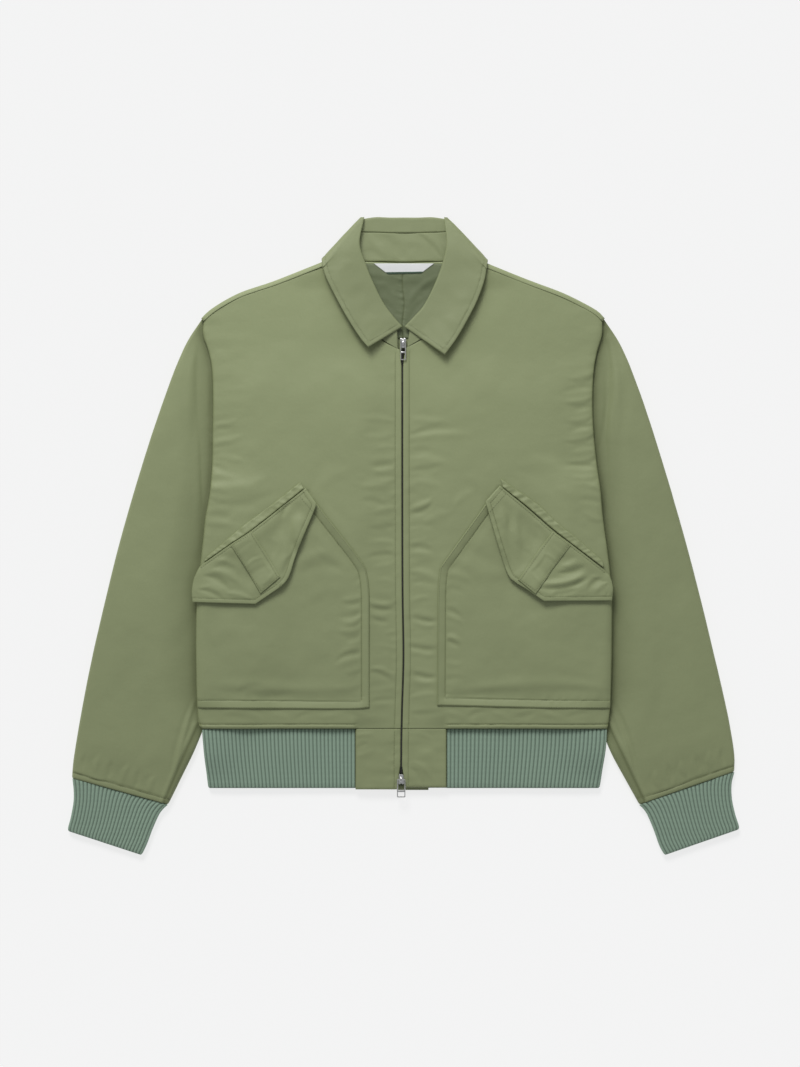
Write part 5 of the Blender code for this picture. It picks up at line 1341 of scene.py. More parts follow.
def hem_tab(side):
    outer = TAB_RIGHT_X if side < 0 else TAB_LEFT_X
    low_y = TAB_RIGHT_BOTTOM_Y if side < 0 else TAB_LEFT_BOTTOM_Y
    ys = np.linspace(low_y, TAB_TOP_Y, 60)
    zip_side = np.stack([zip_edge(ys, side), ys], axis=1)
    edge = np.array([(outer, low_y), (outer, TAB_TOP_Y)])
    bottom, top = np.array([zip_side[0], edge[0]]), np.array([zip_side[-1], edge[-1]])
    u = graded(56, 1.8, starts=[(0, 6), (PLACKET, 4)], ends=[(0, 5)], fine=0.7)
    v = graded(77, 1.8, starts=[(0, 5)], ends=[(0, 4)], fine=0.7)
    grid = coons(bottom, top, zip_side, edge, u, v)
    x, y = grid[..., 0].ravel(), grid[..., 1].ravel()
    points = np.column_stack([x, y, np.full(len(x), BODY_WALL * 1.5 + LAY_GAP - 0.2)])
    faces = grid_faces(len(v), len(u))
    if side < 0:
        faces = faces[:, ::-1]
    from_zip, from_side = np.abs(x - zip_edge(y, side)), np.abs(x - outer)
    relief = 0.6 * noise2(x, y, 26, 15 + side) + 0.35 * noise2(x * 0.6, y, 9, 17 + side) + creased(x, y, TAB_CREASES)
    relief *= smooth((TAB_TOP_Y - y) / 9.0)
    placket = np.abs(x - zip_x(y)) - PLACKET
    relief += seam_relief(placket, y, 19 + side, groove=0.35, pull=0.45, reach=6, cell=7, wide=0.8)
    relief += edge_round(from_zip, 1.8, 1.0) + edge_round(from_side, 3.0, 1.3) + edge_round(y - low_y, 4.0, 1.7) + edge_round(TAB_TOP_Y - y, 1.4, 0.5)
    shade = np.exp(-(placket / 0.8) ** 2) * 0.3 + 0.35 * np.exp(-((TAB_TOP_Y - y) / 1.0) ** 2) + 0.7 * np.exp(-(from_side / 1.2) ** 2)
    name = "look_hem_tab_right" if side < 0 else "look_hem_tab_left"
    obj = shell(name, points, faces, BODY_WALL - 0.4, shell_cloth, top=np.maximum(relief, -2.6), shade=np.clip(shade, 0, 1))
    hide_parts("hem_tab_right" if side < 0 else "hem_tab_left")
    return obj


# ---- collar ---------------------------------------------------------------------------------------------------------------
def collar_rows():
    """Rows round the neck from the right front end to the left: roll point, edge point,
    the leaf's outward side, the depth under the roll and the seam on the panels."""
    inset = COLLAR_ROLL + COLLAR_WALL / 2

    def turned(side):
        """Half a turn over the shoulder, from its front to its back."""
        fold = COLLAR_FOLD_RIGHT if side < 0 else COLLAR_FOLD_LEFT
        a, b = np.array(fold[0], float), np.array(fold[1], float)
        along = (b - a) / np.linalg.norm(b - a)
        out = np.array([-along[1], along[0]])
        if out[0] * side < 0:
            out = -out
        base, outs = fold_line(side)[0], shoulder_line(side)[1][0]
        rows = []
        for turn in (180, 144, 108, 72, 36, 0):
            t = math.radians(turn)
            ends = []
            for p, low, high in ((a, ROLL_LOW, ROLL_TOP), (b, EDGE_LOW, EDGE_TOP)):
                radius = (high - low) / 2
                q = p - out * (radius + COLLAR_WALL / 2) + out * radius * math.sin(t)
                ends.append(np.array([q[0], q[1], low + radius - radius * math.cos(t)]))
            d = (ends[1] - ends[0]) / np.linalg.norm(ends[1] - ends[0])
            ends[1] = ends[1] + d * EDGE_RUN * (1 - math.sin(t))
            n = np.array([out[0] * math.sin(t), out[1] * math.sin(t), -math.cos(t)])
            neck = np.array([*(base + outs * FOLD_RADIUS * math.sin(t)),
                             float(back_middle(*base)) + FOLD_RADIUS * (1 - math.cos(t))])
            rows.append((ends[0] + d * inset, ends[1], n, BACK_DEPTH, neck, 5.9))
        return rows

    def fronts(table):
        rows = []
        for k, row in enumerate(table):
            a, b = np.array([row[0], row[1], row[4]], float), np.array([row[2], row[3], row[5]], float)
            d = (b - a) / np.linalg.norm(b - a)
            neck = np.array([row[7], row[8], float(front_middle(row[7], row[8]))])
            rows.append((a + d * inset, b, np.array([0, 0, 1.0]), row[6], neck, 5.9 if k >= len(table) - 1 else 1.4))
        return rows

    back_rows = []
    for row in COLLAR_BACK:
        a, b = np.array([row[0], row[1], ROLL_LOW], float), np.array([row[2], row[3], EDGE_LOW], float)
        d = (b - a) / np.linalg.norm(b - a)
        neck = np.array([row[4], row[5], float(back_middle(row[4], row[5]))])
        back_rows.append((a + d * inset, b, np.array([0, 0, -1.0]), BACK_DEPTH, neck, 1.4))
    return fronts(COLLAR_RIGHT[:-1]) + turned(-1) + back_rows + turned(1)[::-1] + fronts(COLLAR_LEFT[:-1])[::-1]


def through(values, counts):
    """Values on a smooth curve through the rows, with this many steps in each gap."""
    v = np.array(values, float)
    v = v.reshape(len(v), -1)
    v = np.vstack([2 * v[0] - v[1], v, 2 * v[-1] - v[-2]])
    out = []
    for k, (a, b, c, d) in enumerate(zip(v, v[1:], v[2:], v[3:])):
        t = (np.arange(counts[k]) / counts[k])[:, None]
        out.append(0.5 * (2 * b + (c - a) * t + (2 * a - 5 * b + 4 * c - d) * t * t + (3 * b - a - 3 * c + d) * t ** 3))
    return np.vstack(out + [v[-2:-1]])


def unit(v):
    return v / np.linalg.norm(v, axis=-1, keepdims=True)


def collar():
    rows = collar_rows()
    edge = np.array([row[1] for row in rows])
    roll = np.array([row[0] for row in rows])
    gaps = np.maximum(np.linalg.norm(np.diff(edge, axis=0), axis=1), np.linalg.norm(np.diff(roll, axis=0), axis=1))
    counts = [max(int(round(g / 2.0)), 2) for g in gaps]
    a, b, n = (through([row[k] for row in rows], counts) for k in (0, 1, 2))
    depth, clear = (through([row[k] for row in rows], counts)[:, 0] for k in (3, 5))
    neck = through([row[4] for row in rows], counts)
    d = unit(b - a)
    n = unit(n - d * (n * d).sum(1)[:, None])
    size = np.linalg.norm(b - a, axis=1)
    # the leaf, from its free edge to the roll, round it, and under
    leaf = graded(55, 2.8, starts=[(0, 4), (COLLAR_STITCH, 4)], ends=[(0, 3)], fine=0.8)
    turn = np.radians(np.arange(22.5, 180, 22.5))
    under = np.linspace(0, 1, 9)
    # the tips stand a little off the fronts
    ahead = np.concatenate([[0], np.cumsum(np.linalg.norm(np.diff(b, axis=0), axis=1))])
    tip_gap = np.minimum(ahead, ahead[-1] - ahead)
    curl = TIP_LIFT * smooth(1 - tip_gap / 110.0) + 2.0 * smooth((tip_gap - 20) / 40) * smooth((125 - tip_gap) / 30)
    rings = []
    for s in leaf:
        rings.append(b + (a - b) * s + n * (curl * smooth(1 - s * 1.25))[:, None])
    for t in turn:
        rings.append(a - n * COLLAR_ROLL + n * COLLAR_ROLL * math.cos(t) - d * COLLAR_ROLL * math.sin(t))
    for s in under:
        rings.append(a + d * (depth * s)[:, None] - n * 2 * COLLAR_ROLL)
    cols = len(rings)
    grid = np.stack(rings, axis=1)
    count = len(grid)
    points = grid.reshape(-1, 3)
    faces = grid_faces(count, cols)
    normals = point_normals(points, faces)
    if (normals[5::cols] * n).sum() < 0:
        faces = faces[:, ::-1]
        normals = -normals
    # distances from the free edge and from the two front ends, along the leaf
    far = lengths(edge_line := b)
    place = np.repeat(far, cols)
    station = np.repeat(np.arange(count), cols)
    index = np.tile(np.arange(cols), count)
    on_leaf = index < len(leaf)
    from_edge = np.where(on_leaf, size[station] * np.take(np.append(leaf, np.ones(cols - len(leaf))), index), 60.0)
    ends = []
    for k in (0, -1):
        line = np.array([a[k][:2] + (a[k][:2] - b[k][:2]) * 2, b[k][:2] + (b[k][:2] - a[k][:2]) * 2])
        off = np.abs(beside(points[:, 0], points[:, 1], line)[0])
        ends.append(np.where((station < count * 0.3) if k == 0 else (station > count * 0.7), off, 99.0))
    from_end = np.minimum(*ends)
    x, y = points[:, 0], points[:, 1]
    inner = np.minimum(from_edge, from_end)
    relief = 0.30 * noise2(x, y, 30, 3) + 0.16 * noise2(x, y, 12, 4)
    relief += 0.3 * smooth((inner - COLLAR_STITCH) / 12.0) * smooth((size[station] - from_edge) / 12)
    for gap, run, seed in ((from_edge, place, 5), (from_end, from_edge, 8)):
        relief += seam_relief(gap - COLLAR_STITCH, run, seed, groove=0.22, pull=0.30, reach=5.0, cell=6.0, wide=0.8)
        relief += edge_round(gap, 1.3, 0.5)
    relief += creased(x, y, COLLAR_CREASES) * (points[:, 2] > 9)
    relief = np.where(on_leaf, relief, relief * 0.3)
    behind = (np.abs(station - count / 2) < count * 0.30) & (index >= len(leaf) + len(turn))
    relief = np.where(behind, 0.3 * noise2(x, y, 16, 31) + 0.15 * noise1(x, 9, 6), relief)
    back_part = normals[:, 2] < -0.2
    relief = np.where(back_part & on_leaf, np.minimum(relief, 0.0), relief)
    # painted shade at the leaf's stitching, and at the inner edge of the part under the roll
    shade = np.where(on_leaf, np.exp(-((inner - COLLAR_STITCH) / 0.8) ** 2) * 0.22, 0.0)
    shade = np.maximum(shade, np.where(index == cols - 1, 0.5, 0.0))
    fall = shell("look_collar_fall", points, faces, COLLAR_WALL, collar_cloth, top=np.maximum(relief, -0.8),
                 under=edge_round(inner, 2.0, 0.3), shade=shade)
    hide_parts("collar_fall")
    # the stand, ruled from the leaf's inner edge to the neck seam
    top = a + d * (depth + 0.3)[:, None] - n * 2 * COLLAR_ROLL
    way = top - neck
    foot = neck + unit(way) * clear[:, None]
    share = graded(30, 2.0, starts=[(0, 4)], ends=[(0, 4)], fine=0.8)
    grid = foot[:, None] + (top - foot)[:, None] * np.asarray(share)[None, :, None]
    cols = len(share)
    points = grid.reshape(-1, 3)
    faces = grid_faces(count, cols)
    normals = point_normals(points, faces)
    middle = count // 2 * cols + cols // 2
    if normals[middle][2] < 0:
        faces = faces[:, ::-1]
    x, y = points[:, 0], points[:, 1]
    reach = np.repeat(np.linalg.norm(top - foot, axis=1), cols)
    at = np.tile(share, count) * reach
    relief = 0.45 * noise2(x, y, 24, 41) + 0.22 * noise2(x, y, 10, 42) + creased(x, y, STAND_CREASES)
    relief += edge_round(at, 3.0, 0.7) + edge_round(reach - at, 1.4, 0.3)
    relief += 0.25 * noise1(place[:len(x)] if len(place) >= len(x) else np.repeat(far, cols), 5.0, 9) * np.exp(-at / 5.0)
    # painted shade at the foot of the stand along the neck seam, and at its top where it goes under the leaf
    shade = np.maximum(np.exp(-at / 1.2) * 0.9, np.exp(-(reach - at) / 0.8) * 0.35)
    stand = shell("look_collar_stand", points, faces, COLLAR_WALL, collar_cloth, top=np.clip(relief, -0.7, 0.9), shade=shade)
    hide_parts("collar_stand")
    return fall, stand, dict(a=a, b=b, n=n, size=size)


# ---- what lies on the panels ------------------------------------------------------------------------------------
def lining(under):
    v = np.linspace(0, 1, 62)
    u = np.linspace(-1, 1, 75)
    y = 349 + (253.5 - 349) * v
    half = 58 - 38 * v ** 1.2
    x = 0 + half[:, None] * u[None, :]
    y = np.repeat(y[:, None], len(u), axis=1)
    x, y = x.ravel(), y.ravel()
    drape = Drape((-80, 240), (80, 360)).add(under).settle(1.5, 4.0)
    middle = -0.5 + 1.2 * np.sin(y / 9.0)
    off = x - middle
    fade = smooth((339 - y) / 6)
    relief = 0.35 * noise2(x, y, 26, 51) + 0.25 * noise2(x, y, 10, 52)
    relief += seam_relief(off, y, 55, groove=0.75, pull=1.1, reach=9.0, cell=4.5, wide=1.0) * fade
    relief += creased(x, y, LINING_CREASES)
    relief += edge_round(y * 0 + (349 - y), 2.5, 0.5)
    relief = np.clip(relief, -0.9, 1.3)
    z = drape.at(x, y) + 0.4 + 0.35 + relief + 0.5
    faces = grid_faces(62, 75)
    points = np.column_stack([x, y, z])
    if point_normals(points, faces)[2000][2] < 0:
        faces = faces[:, ::-1]
    # painted shade along the centre seam, and at the top edge under the stand
    shade = np.clip(np.exp(-(off / 0.9) ** 2) * fade + np.exp(-(349 - y) / 2.0) * 0.6, 0, 1)
    obj = shell("look_back_lining", points, faces, 0.8, lining_cloth, shade=shade)
    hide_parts("back_lining")
    return obj


def label(under):
    a, b, c, d = [np.array(p, float) for p in LABEL]
    u, v = np.linspace(0, 1, 80), np.linspace(0, 1, 18)
    grid = coons(np.array([d, c]), np.array([a, b]), np.array([d, a]), np.array([c, b]), u, v)
    x, y = grid[..., 0].ravel(), grid[..., 1].ravel()
    drape = Drape((-50, 325), (50, 355), 1.0).add(under).settle(1.0, 3.0)
    z = drape.at(x, y) + 0.25 + 0.25
    vv = np.repeat(v, len(u))
    ripple = 0.18 * noise1(x, 11.0, 4) * (1 - vv)
    points = np.column_stack([x, y, z + np.maximum(ripple, 0)])
    faces = grid_faces(len(v), len(u))
    if point_normals(points, faces)[500][2] < 0:
        faces = faces[:, ::-1]
    obj = shell("look_neck_label", points, faces, 0.5, label_cloth, shade=np.zeros(len(x)))
    obj.data.materials.append(label_edge)
    lower = np.repeat(v[:-1] < 0.12, len(u) - 1)
    for poly, edge in zip(obj.data.polygons, lower):
        if edge:
            poly.material_index = 1
    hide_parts("neck_label")
    return obj


def patch_lines(side):
    """A pocket's outline, from the mouth down the zip side and along the bottom."""
    o = pocket_outline(side)
    line = np.vstack([at_shares(o["zip_side"][::-1], np.linspace(0, 1, 120)), at_shares(o["bottom"][::-1], np.linspace(0, 1, 60))[1:]])
    return line


def pocket(side, under):
    o = pocket_outline(side)
    u = graded(215, 2.3, starts=[(0, 5)], ends=[(0, 3), (POCKET_SEAM, 4)], fine=0.55)
    v = graded(220, 2.3, starts=[(0, 3), (POCKET_SEAM, 4)], ends=[(0, 4)], fine=0.55)
    grid = coons(o["bottom"], o["mouth"], o["side"], o["zip_side"], u, v)
    x, y = grid[..., 0].ravel(), grid[..., 1].ravel()
    span = sorted((float(x.min()), float(x.max())))
    drape = Drape((span[0] - 8, y.min() - 8), (span[1] + 8, y.max() + 8)).add(under).settle(1.5, 5.0)
    zip_gap, run = beside(x, y, o["zip_side"])
    bottom_gap, run2 = beside(x, y, o["bottom"])
    mouth_gap, _ = beside(x, y, o["mouth"])
    side_gap, _ = beside(x, y, o["side"])
    zip_gap, bottom_gap, mouth_gap, side_gap = (np.abs(g) for g in (zip_gap, bottom_gap, mouth_gap, side_gap))
    inner = np.minimum(zip_gap, bottom_gap)
    run = np.where(zip_gap < bottom_gap, run, run2 + 400)
    stitch = inner - POCKET_SEAM
    relief = 0.85 * noise2(x, y, 66, 101 + side) + 0.5 * noise2(x, y, 28, 105 + side) + 0.16 * noise2(x, y, 12, 109 + side)
    body = smooth(stitch / 16.0) * smooth(side_gap / 14.0)
    relief = relief * (0.35 + 0.65 * body) + 1.2 * body * smooth(mouth_gap / 30)
    relief += 0.85 * creased(x, y, POCKET_RIGHT_CREASES if side < 0 else POCKET_LEFT_CREASES) * smooth((stitch + 1) / 6)
    relief += seam_relief(stitch, run, 111 + side, groove=0.6, pull=0.42, reach=7.0, cell=5.0, wide=0.8)
    relief += 0.14 * np.exp(-((inner - POCKET_SEAM / 2) / 3.2) ** 2)
    relief += edge_round(inner, 1.3, 1.1) + edge_round(side_gap, 6.0, 1.3)
    shade = np.exp(-(stitch / 0.8) ** 2) * 0.6 + 0.5 * np.exp(-(inner / 0.8) ** 2)
    z = drape.at(x, y) + 0.9 + 0.25 - 2.0 * smooth(1 - side_gap / 8.0) * 0.5
    relief = np.maximum(relief, -1.45)
    points = np.column_stack([x, y, z])
    faces = grid_faces(len(v), len(u))
    if side > 0:
        faces = faces[:, ::-1]
    name = "look_pocket_right" if side < 0 else "look_pocket_left"
    obj = shell(name, points, faces, 1.8, patch_cloth, top=relief, shade=np.clip(shade, 0, 1))
    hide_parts("pocket_right" if side < 0 else "pocket_left")
    return obj


def flap_edges(side):
    spec = FLAP_RIGHT if side < 0 else FLAP_LEFT
    return dict(sewn=curve(spec["sewn"]), tip=runs(spec["tip"][:2], spec["tip"][1:]),
                hem=runs(spec["hem"][:2], spec["hem"][1:]), side=curve(spec["side"]))


def flap(side, under):
    e = flap_edges(side)
    u = graded(115, 1.9, starts=[(0, 3), (FLAP_HEM, 3)], ends=[(0, 3), (FLAP_HEM, 3)], fine=0.55)
    v = graded(100, 1.9, starts=[(0, 3), (FLAP_HEM, 3)], ends=[(0, 3)], fine=0.55)
    grid = coons(e["hem"], e["sewn"], e["side"][::-1], e["tip"][::-1], u, v)
    x, y = grid[..., 0].ravel(), grid[..., 1].ravel()
    drape = Drape((x.min() - 8, y.min() - 8), (x.max() + 8, y.max() + 8))
    for obj in under:
        drape.add(obj)
    drape.settle(2.5, 9.0)
    hem, run = beside(x, y, e["hem"])
    tip, run2 = beside(x, y, e["tip"])
    sewn, run3 = beside(x, y, e["sewn"])
    edge, _ = beside(x, y, e["side"])
    hem, tip, sewn, edge = (np.abs(g) for g in (hem, tip, sewn, edge))
    free = np.minimum(hem, tip)
    run = np.where(hem < tip, run, run2 + 200)
    relief = 0.65 * noise2(x, y, 40, 121 + side) + 0.4 * noise2(x, y, 17, 125 + side)
    relief += 0.7 * smooth((free - FLAP_HEM) / 12) * smooth(sewn / 12)
    relief += 1.4 * creased(x, y, FLAP_RIGHT_CREASES if side < 0 else FLAP_LEFT_CREASES)
    relief += seam_relief(free - FLAP_HEM, run, 131 + side, groove=0.42, pull=0.5, reach=6.0, cell=6.0, wide=0.8)
    relief += edge_round(free, 1.4, 0.9) + edge_round(sewn, 1.4, 0.45) + edge_round(edge, 5.0, 1.2)
    relief += seam_relief(sewn - 2.5, run3, 141 + side, groove=0.35, pull=0.4, reach=7.0, cell=6.0, wide=1.0)
    lift = 4.2 * smooth(1 - free / 38.0) * smooth(sewn / 30.0) * (0.8 + 0.35 * noise1(run, 45, 6 + side))
    z = drape.at(x, y) + 1.2 + 0.2 + lift
    points = np.column_stack([x, y, z])
    faces = grid_faces(len(v), len(u))
    if point_normals(points, faces)[:, 2].mean() < 0:
        faces = faces[:, ::-1]
    shade = np.exp(-((free - FLAP_HEM) / 0.8) ** 2) * 0.5 + 0.45 * np.exp(-(sewn / 1.0) ** 2) * (0.6 + 0.5 * noise1(run3, 9, 145))
    name = "look_flap_right" if side < 0 else "look_flap_left"
    obj = shell(name, points, faces, 2.4, flap_cloth, top=np.maximum(relief, -1.6), under=edge_round(free, 2.0, 0.5), shade=np.clip(shade, 0, 1))
    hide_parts("flap_right" if side < 0 else "flap_left")
    return obj


def strap(side, under):
    a, b, c, d = [np.array(p, float) for p in (STRAP_RIGHT if side < 0 else STRAP_LEFT)]
    bow = 3.0 * side
    out = np.array([-(a - d)[1], (a - d)[0]]) / np.linalg.norm(a - d)
    left = curve([d, (a + d) / 2 + out * bow * 0.3, a])
    right = curve([c, (b + c) / 2 + out * bow * 0.3, b])
    u, v = graded(30, 1.6, starts=[(0, 3)], ends=[(0, 3)], fine=0.7), graded(66, 1.6, starts=[(0, 3)], ends=[(0, 3)], fine=0.7)
    grid = coons(np.array([d, c]), np.array([a, b]), left, right, u, v)
    x, y = grid[..., 0].ravel(), grid[..., 1].ravel()
    drape = Drape((x.min() - 6, y.min() - 6), (x.max() + 6, y.max() + 6), 1.2).add(under).settle(1.2, 4.0)
    gaps = [np.abs(beside(x, y, line)[0]) for line in (left, right, np.array([d, c]), np.array([a, b]))]
    rim = np.minimum(np.minimum(gaps[0], gaps[1]), gaps[2])
    relief = 0.28 * noise2(x, y, 18, 151 + side) + 0.45 * smooth(rim / 7.0) + creased(x, y, STRAP_RIGHT_CREASES if side < 0 else STRAP_LEFT_CREASES)
    relief += seam_relief(rim - 2.6, x + y, 155 + side, groove=0.22, pull=0.35, reach=4.0, cell=6.0, wide=0.7)
    relief += edge_round(rim, 1.2, 0.9) + edge_round(gaps[3], 2.5, 0.8)
    # the side that lies nearer the zip is pressed almost flush
    flush = np.exp(-(gaps[0 if side > 0 else 1] / 6.0) ** 2)
    points = np.column_stack([x, y, drape.at(x, y) + 0.8 + 0.15])
    faces = grid_faces(len(v), len(u))
    if point_normals(points, faces)[:, 2].mean() < 0:
        faces = faces[:, ::-1]
    shade = np.exp(-((rim - 2.6) / 0.8) ** 2) * 0.3 + 0.6 * np.exp(-(rim / 0.8) ** 2) * (1 - 0.7 * flush)
    name = "look_flap_strap_right" if side < 0 else "look_flap_strap_left"
    obj = shell(name, points, faces, 1.6, flap_cloth, top=np.clip(relief - 0.6 * flush, -1.2, 1.2), shade=np.clip(shade, 0, 1))
    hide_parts("flap_strap_right" if side < 0 else "flap_strap_left")
    return obj


def welt(side, under):
    spec = WELT_RIGHT if side < 0 else WELT_LEFT
    lower, upper = curve(spec["lower"]), curve(spec["upper"])
    # its lower edge rolls down on to the flap, which closes the seam between them
    down = lower[-1] - lower[0]
    down = np.array([down[1], -down[0]]) / np.linalg.norm(down)
    lower = lower + down * math.copysign(0.8, float(np.dot(down, lower.mean(axis=0) - upper.mean(axis=0))))
    u, v = graded(150, 1.4, starts=[(0, 3)], ends=[(0, 3)], fine=0.7), np.linspace(0, 1, 9)
    grid = coons(lower, upper, np.array([lower[0], upper[0]]), np.array([lower[-1], upper[-1]]), u, v)
    x, y = grid[..., 0].ravel(), grid[..., 1].ravel()
    drape = Drape((x.min() - 6, y.min() - 6), (x.max() + 6, y.max() + 6), 1.2)
    for obj in under:
        drape.add(obj)
    drape.settle(1.5, 4.0)
    line = at_shares(lower, np.linspace(0, 1, 60))
    gap, run = beside(x, y, lower)
    far = np.abs(beside(x, y, upper)[0])
    gap = np.abs(gap)
    relief = 0.75 * noise1(run, 6.5, 161 + side) + 0.6 * noise1(run + gap * 0.8, 3.2, 165 + side) + 0.35 * noise2(x, y, 7, 163)
    relief += edge_round(far, 1.8, 0.8) + edge_round(gap, 1.4, 0.5)
    points = np.column_stack([x, y, drape.at(x, y) + 1.0 + 0.1])
    faces = grid_faces(len(v), len(u))
    if point_normals(points, faces)[:, 2].mean() < 0:
        faces = faces[:, ::-1]
    # painted shade at the welt's edges and in the troughs of its ripple
    shade = (0.45 * np.exp(-(far / 1.0) ** 2) + 0.4 * np.exp(-(gap / 1.1) ** 2)) * (0.6 + 0.5 * noise1(run, 8, 167))
    shade += 0.3 * smooth(-noise1(run + gap * 0.8, 3.2, 165 + side) - 0.1)
    name = "look_flap_welt_right" if side < 0 else "look_flap_welt_left"
    obj = shell(name, points, faces, 2.0, flap_cloth, top=np.clip(relief, -1.2, 1.0), shade=np.clip(shade, 0, 1))
    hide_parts("flap_welt_right" if side < 0 else "flap_welt_left")
    return obj


# ---- zip ------------------------------------------------------------------------------------------------------------------
def strip(name, node, top_y, bottom_y, left, right, height, thick, material, ripple=0.0):
    u = graded(right - left, 2.2, starts=[(0, 2)], ends=[(0, 2)], fine=0.7)
    v = np.linspace(0, 1, 180)
    ys = bottom_y + (top_y - bottom_y) * v
    x = zip_x(ys)[:, None] + left + (right - left) * np.asarray(u)[None, :]
    y = np.repeat(ys[:, None], len(u), axis=1)
    x, y = x.ravel(), y.ravel()
    relief = ripple * noise2(x, y, 22, 171) + ripple * 0.6 * noise1(y, 9, 172)
    gap = np.minimum(x - zip_x(y) - left, zip_x(y) + right - x)
    relief = np.clip(relief, -0.2, 0.4) + edge_round(gap, 0.8, 0.2) * 0
    points = np.column_stack([x, y, np.full(len(x), height)])
    obj = shell(name, points, grid_faces(len(v), len(u)), thick, material, top=relief, shade=np.zeros(len(x)))
    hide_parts(node)
    return obj


def rounded_box(size, bevel, cuts=2):
    """Points and quads of a box with rounded edges, centred at nothing."""
    import bmesh
    bm = bmesh.new()
    bmesh.ops.create_cube(bm, size=1.0)
    bmesh.ops.scale(bm, vec=size, verts=bm.verts)
    bmesh.ops.bevel(bm, geom=list(bm.edges), offset=bevel, segments=cuts, affect="EDGES", profile=0.5)
    bm.verts.index_update()
    pts = np.array([v.co[:] for v in bm.verts])
    faces = [[v.index for v in f.verts] for f in bm.faces]
    bm.free()
    return pts, faces


class Joined:
    """Many small closed pieces gathered into one mesh."""

    def __init__(self):
        self.points, self.faces, self.count = [], [], 0

    def add(self, points, faces):
        points = np.asarray(points, float)
        self.points.append(points)
        self.faces += [[i + self.count for i in f] for f in faces]
        self.count += len(points)

    def build(self, name, material, **more):
        return new_object(name, np.vstack(self.points), self.faces, material, **more)


def zip_teeth():
    pts, faces = rounded_box((2.1, 1.25, 2.3), 0.35, 1)
    joined = Joined()
    n = int((240 - -304) / (TOOTH_PITCH / 2))
    for k in range(n):
        y = -304 + (240 - -304) * (k + 0.5) / n
        side = 1 if k % 2 else -1
        x = float(zip_x(y)) + side * 0.36
        joined.add(pts + (x, y, 8.55), faces)
    # the moulded cords that the teeth are clamped to
    for side in (-1, 1):
        ys = np.linspace(-304, 240, 240)
        ring = np.radians(np.arange(0, 360, 45))
        line = np.stack([zip_x(ys) + side * 1.30, ys, np.full(len(ys), 6.98)], axis=1)
        tube = line[:, None] + np.stack([0.42 * np.cos(ring), 0 * ring, 0.42 * np.sin(ring)], axis=1)[None]
        f = grid_faces(len(ys), 8, wrap=True)
        if side:
            f = f[:, ::-1]
        caps = [list(range(8)), [(len(ys) - 1) * 8 + i for i in range(8)][::-1]]
        joined.add(tube.reshape(-1, 3), f.tolist() + caps)
    obj = joined.build("look_zip_chain", teeth_metal, sharp=40)
    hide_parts("zip_chain")
    return obj


def prism(outline, low, high, bevel=0.5):
    """Closed plate with this outline in plan and rounded rims."""
    outline = np.array(outline, float)
    area = 0.5 * np.sum(outline[:, 0] * np.roll(outline[:, 1], -1) - np.roll(outline[:, 0], -1) * outline[:, 1])
    if area < 0:
        outline = outline[::-1]
    nxt, prv = np.roll(outline, -1, axis=0), np.roll(outline, 1, axis=0)
    way = unit(nxt - prv)
    inward = np.stack([-way[:, 1], way[:, 0]], axis=1)
    rings = []
    for inset, z in ((bevel, low), (bevel * 0.3, low + bevel * 0.3), (0, low + bevel), (0, high - bevel),
                     (bevel * 0.3, high - bevel * 0.3), (bevel, high)):
        rings.append(np.column_stack([outline + inward * inset, np.full(len(outline), z)]))
    n = len(outline)
    points = np.vstack(rings)
    faces = grid_faces(len(rings), n, wrap=True).tolist()
    faces += [list(range(n))[::-1], [(len(rings) - 1) * n + i for i in range(n)]]
    return points, faces


def tube_loop(line, wide, high, closed=False):
    """Rounded strip swept along a line in space: wide across, high along the line's own normal in the y-z plane."""
    line = np.asarray(line, float)
    t = unit(np.gradient(line, axis=0))
    side = np.tile([1.0, 0, 0], (len(line), 1))
    up = unit(np.cross(t, side))
    ring = np.radians(np.arange(0, 360, 30))
    c, s = np.cos(ring), np.sin(ring)
    c, s = np.sign(c) * np.abs(c) ** 0.6, np.sign(s) * np.abs(s) ** 0.6
    points = line[:, None] + side[:, None] * (wide / 2 * c)[None, :, None] + up[:, None] * (high / 2 * s)[None, :, None]
    n = len(ring)
    faces = grid_faces(len(line), n, wrap=True)
    faces = faces.tolist() + [list(range(n))[::-1], [(len(line) - 1) * n + i for i in range(n)]]
    points = points.reshape(-1, 3)
    return points, outward(points, faces)


def outward(points, faces):
    volume = 0.0
    for f in faces:
        for i in range(1, len(f) - 1):
            volume += np.dot(points[f[0]], np.cross(points[f[i]], points[f[i + 1]]))
    return faces if volume > 0 else [list(reversed(f)) for f in faces]


SLIDER_LOW, SLIDER_TOP, PIN_Z = 6.9, 12.2, 13.4


